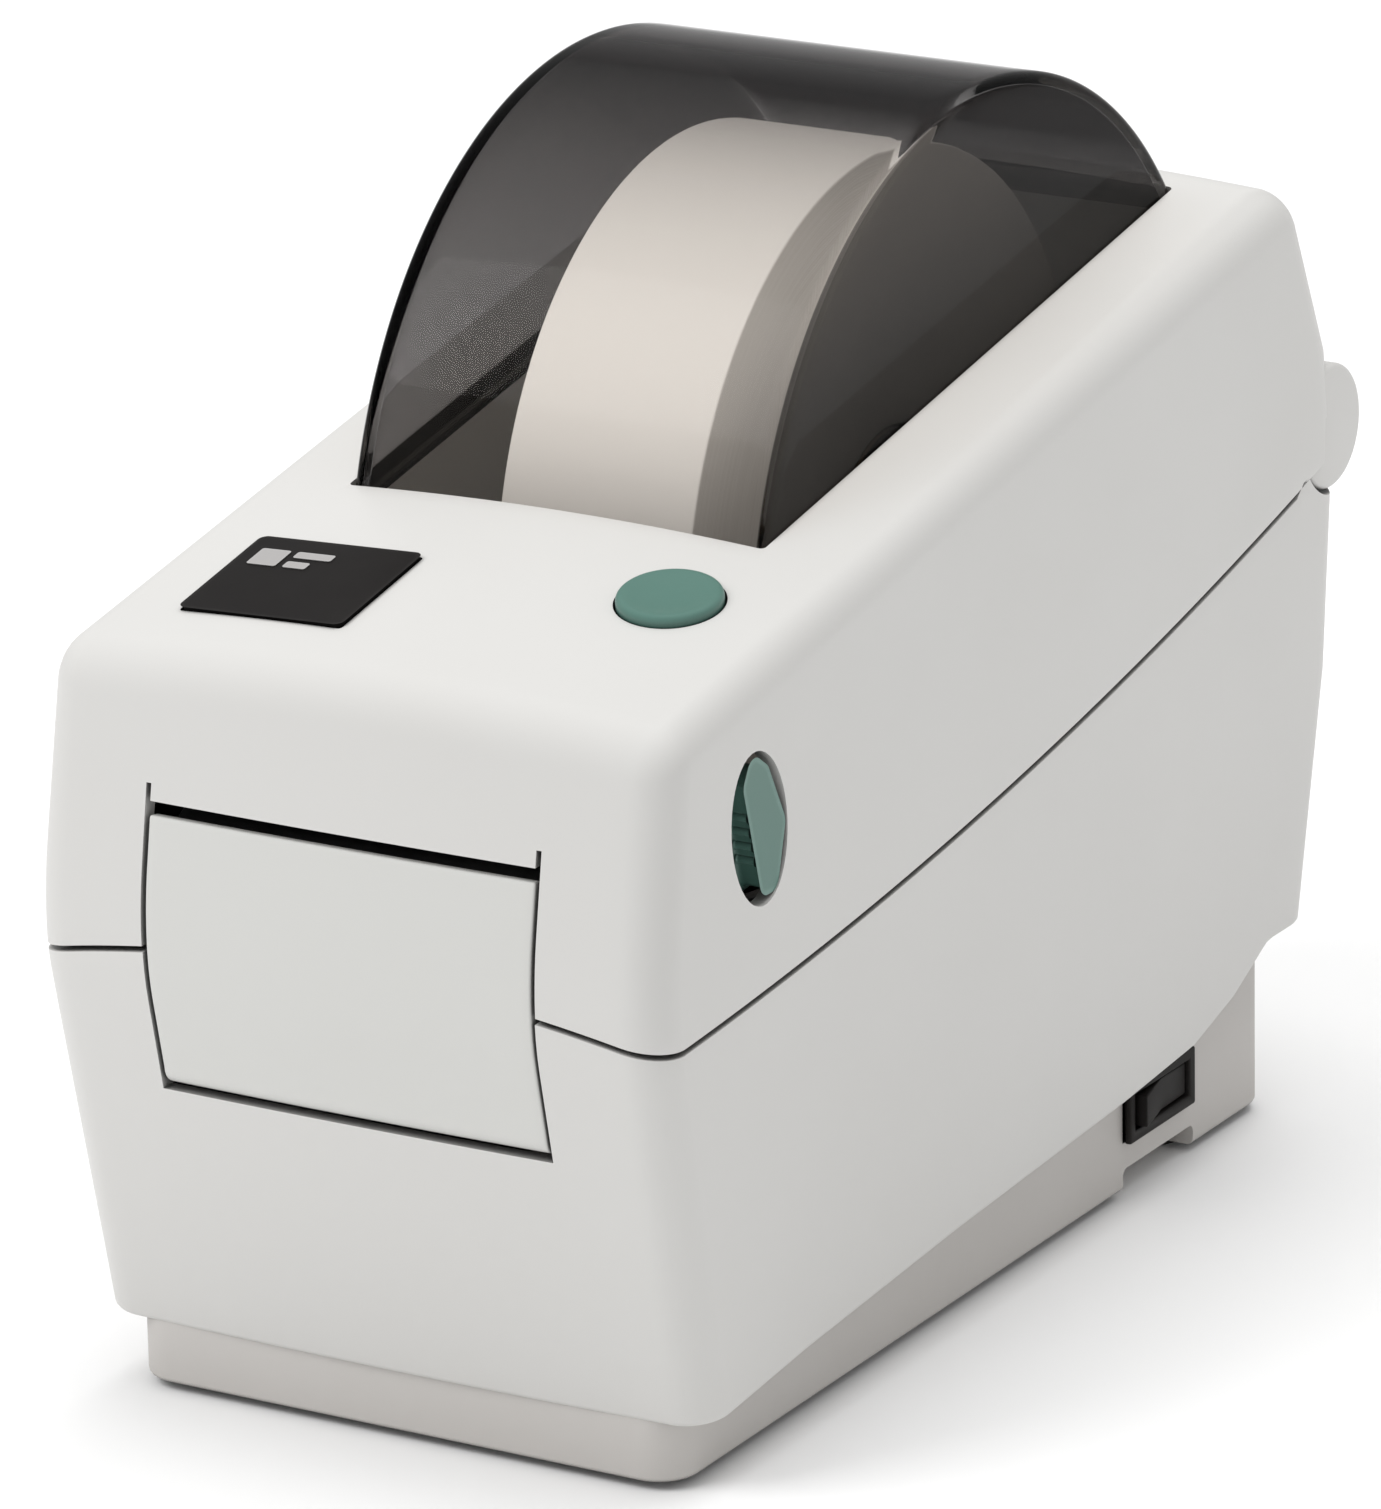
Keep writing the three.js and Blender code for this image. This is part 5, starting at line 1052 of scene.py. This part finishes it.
# Pieces that keep the outline of their CAD node, with its edges rounded: body, slot, width of the
# rounding in millimetres, nodes.
KEPT = (
    ("base", "bay_plastic", 0.35, "media_bay"),
    ("holder_left", "bay_plastic", 0.3, "roll_holder_left"),
    ("holder_right", "bay_plastic", 0.3, "roll_holder_right"),
    ("holder_gear", "gear_plastic", 0.12, "holder_pinion"),
    ("platen", "gear_plastic", 0.12, "platen_gear"),
    ("platen", "steel", 0.2, "platen_shaft"),
    ("idler", "gear_plastic", 0.12, "idler_gear"),
    ("motor_rotor", "gear_plastic", 0.12, "motor_pinion"),
    ("motor_rotor", "steel", 0.15, "motor_shaft"),
    ("base", "steel", 0.15, "idler_stud pinion_stud door_pin hinge_pin_left hinge_pin_right"),
    ("base", "steel", 0.15, "case_screw_front_left case_screw_front_right case_screw_rear_left"
                            " case_screw_rear_right"),
    ("base", "zinc_plate", 0.3, "stepper_motor motor_bracket usb_socket serial_socket"),
    ("base", "black_plastic", 0.3, "platen_bearing_left platen_bearing_right media_sensor switch_frame"
                                   " power_inlet"),
    ("rocker", "black_plastic", 0.35, "power_rocker"),
    ("base", "board", 0.1, "main_board"),
    ("lid", "board", 0.1, "button_board"),
    ("base", "foot_rubber", 0.4, "foot_front_left foot_front_right foot_rear_left foot_rear_right"),
    ("base", "label_paper", 0, "label_web"),
    ("lid", "light_lens", 0.2, "status_light"),
    ("lid", "steel", 0, "tear_bar"),
    ("print_head_module", "ceramic_strip", 0.1, "print_head"),
    ("print_head_module", "head_aluminium", 0.15, "heat_sink"),
    ("print_head_module", "zinc_plate", 0.2, "head_bracket"),
    ("latch", "steel", 0.2, "latch_shaft"),
    ("latch", "black_plastic", 0.3, "latch_hook_left latch_hook_right"),
)
for body, slot, width, names in KEPT:
    for node in names.split():
        hand_over(softened(node, width), body, slot, node)

for node in ("head_spring_left", "head_spring_right"):
    NODES[node].data.materials.clear()
    NODES[node].data.materials.append(MATERIALS["steel"])

# ---------------------------------------------------------------------------
# Floor, light and camera
# ---------------------------------------------------------------------------


def floor():
    """A wide flat sheet that turns up behind on a quarter circle."""
    far, turn = 6.0, 3.0
    k = np.linspace(0, math.pi / 2, 25)
    along = np.concatenate([np.linspace(-far, far, 20)[:-1], far + turn * np.sin(k)]) * 1000
    up = np.concatenate([np.zeros(19), turn * (1 - np.cos(k))]) * 1000
    across = np.linspace(-12000, 12000, 12)
    points = np.stack(np.broadcast_arrays(across, along[:, None], up[:, None]), -1)
    sheet = face_out(surface("floor", points), inner=(0, 0, -9000))
    sheet.data.shade_smooth()
    material = bpy.data.materials.new("floor_paper")
    material.use_nodes = True
    tree = material.node_tree
    shader = next(n for n in tree.nodes if n.type == "BSDF_PRINCIPLED")
    cloud = maths(tree, "MULTIPLY", noise(tree, 1.5, 2, object_place(tree)), 0.02)
    tree.links.new(blend_colour(tree, cloud, rgba((0.93, 0.93, 0.93)), rgba((0.8, 0.8, 0.8))),
                   shader.inputs["Base Color"])
    shader.inputs["Roughness"].default_value = 0.9
    shader.inputs["Specular IOR Level"].default_value = 0.1
    sheet.data.materials.append(material)
    return sheet


floor()


def lamp(name, place, aim, size, power, colour=(1, 1, 1)):
    """A rectangular soft light at place, facing aim. Both in metres."""
    data = bpy.data.lights.new(name, "AREA")
    data.shape = "RECTANGLE"
    data.size, data.size_y = size
    data.energy = power
    data.color = colour
    obj = bpy.data.objects.new(name, data)
    bpy.context.scene.collection.objects.link(obj)
    toward = Vector(aim) - Vector(place)
    obj.visible_glossy = False
    obj.matrix_world = Matrix.Translation(place) @ toward.to_track_quat("-Z", "Y").to_matrix().to_4x4()
    return obj


lamp("key", (-0.75, -1.0, 1.35), (0, 0, 0.08), (0.9, 0.9), 14)
lamp("top", (0.1, 0.35, 1.5), (0, 0, 0.1), (1.2, 1.2), 13)

world = bpy.data.worlds.new("studio")
bpy.context.scene.world = world
world.use_nodes = True
sky = next(n for n in world.node_tree.nodes if n.type == "BACKGROUND")
sky.inputs["Color"].default_value = (1.0, 1.0, 1.0, 1)
sky.inputs["Strength"].default_value = 0.62
bpy.context.scene.view_settings.view_transform = "Standard"


def camera():
    """The camera: how far round and up it stands, its small roll, its distance and its aim."""
    turn, lift, roll = (math.radians(degrees) for degrees in (30.8663, 18.3409, -1.1196))
    distance, lens = 1.40537, 236.684
    back = np.array([math.sin(turn) * math.cos(lift), -math.cos(turn) * math.cos(lift), math.sin(lift)])
    right = np.array([math.cos(turn), math.sin(turn), 0])
    up = np.cross(back, right)
    right, up = (right * math.cos(roll) + up * math.sin(roll),
                 up * math.cos(roll) - right * math.sin(roll))
    aim = np.array([0, -0.001785, 0.085]) + right * -0.0035897 + up * -0.0114259
    data = bpy.data.cameras.new("camera")
    data.lens = lens
    data.sensor_width = 36
    data.clip_end = 100
    obj = bpy.data.objects.new("camera", data)
    bpy.context.scene.collection.objects.link(obj)
    matrix = np.eye(4)
    matrix[:3, :3] = np.stack([right, up, back], axis=1)
    matrix[:3, 3] = aim + back * distance
    obj.matrix_world = Matrix(matrix.tolist())
    bpy.context.scene.camera = obj


camera()
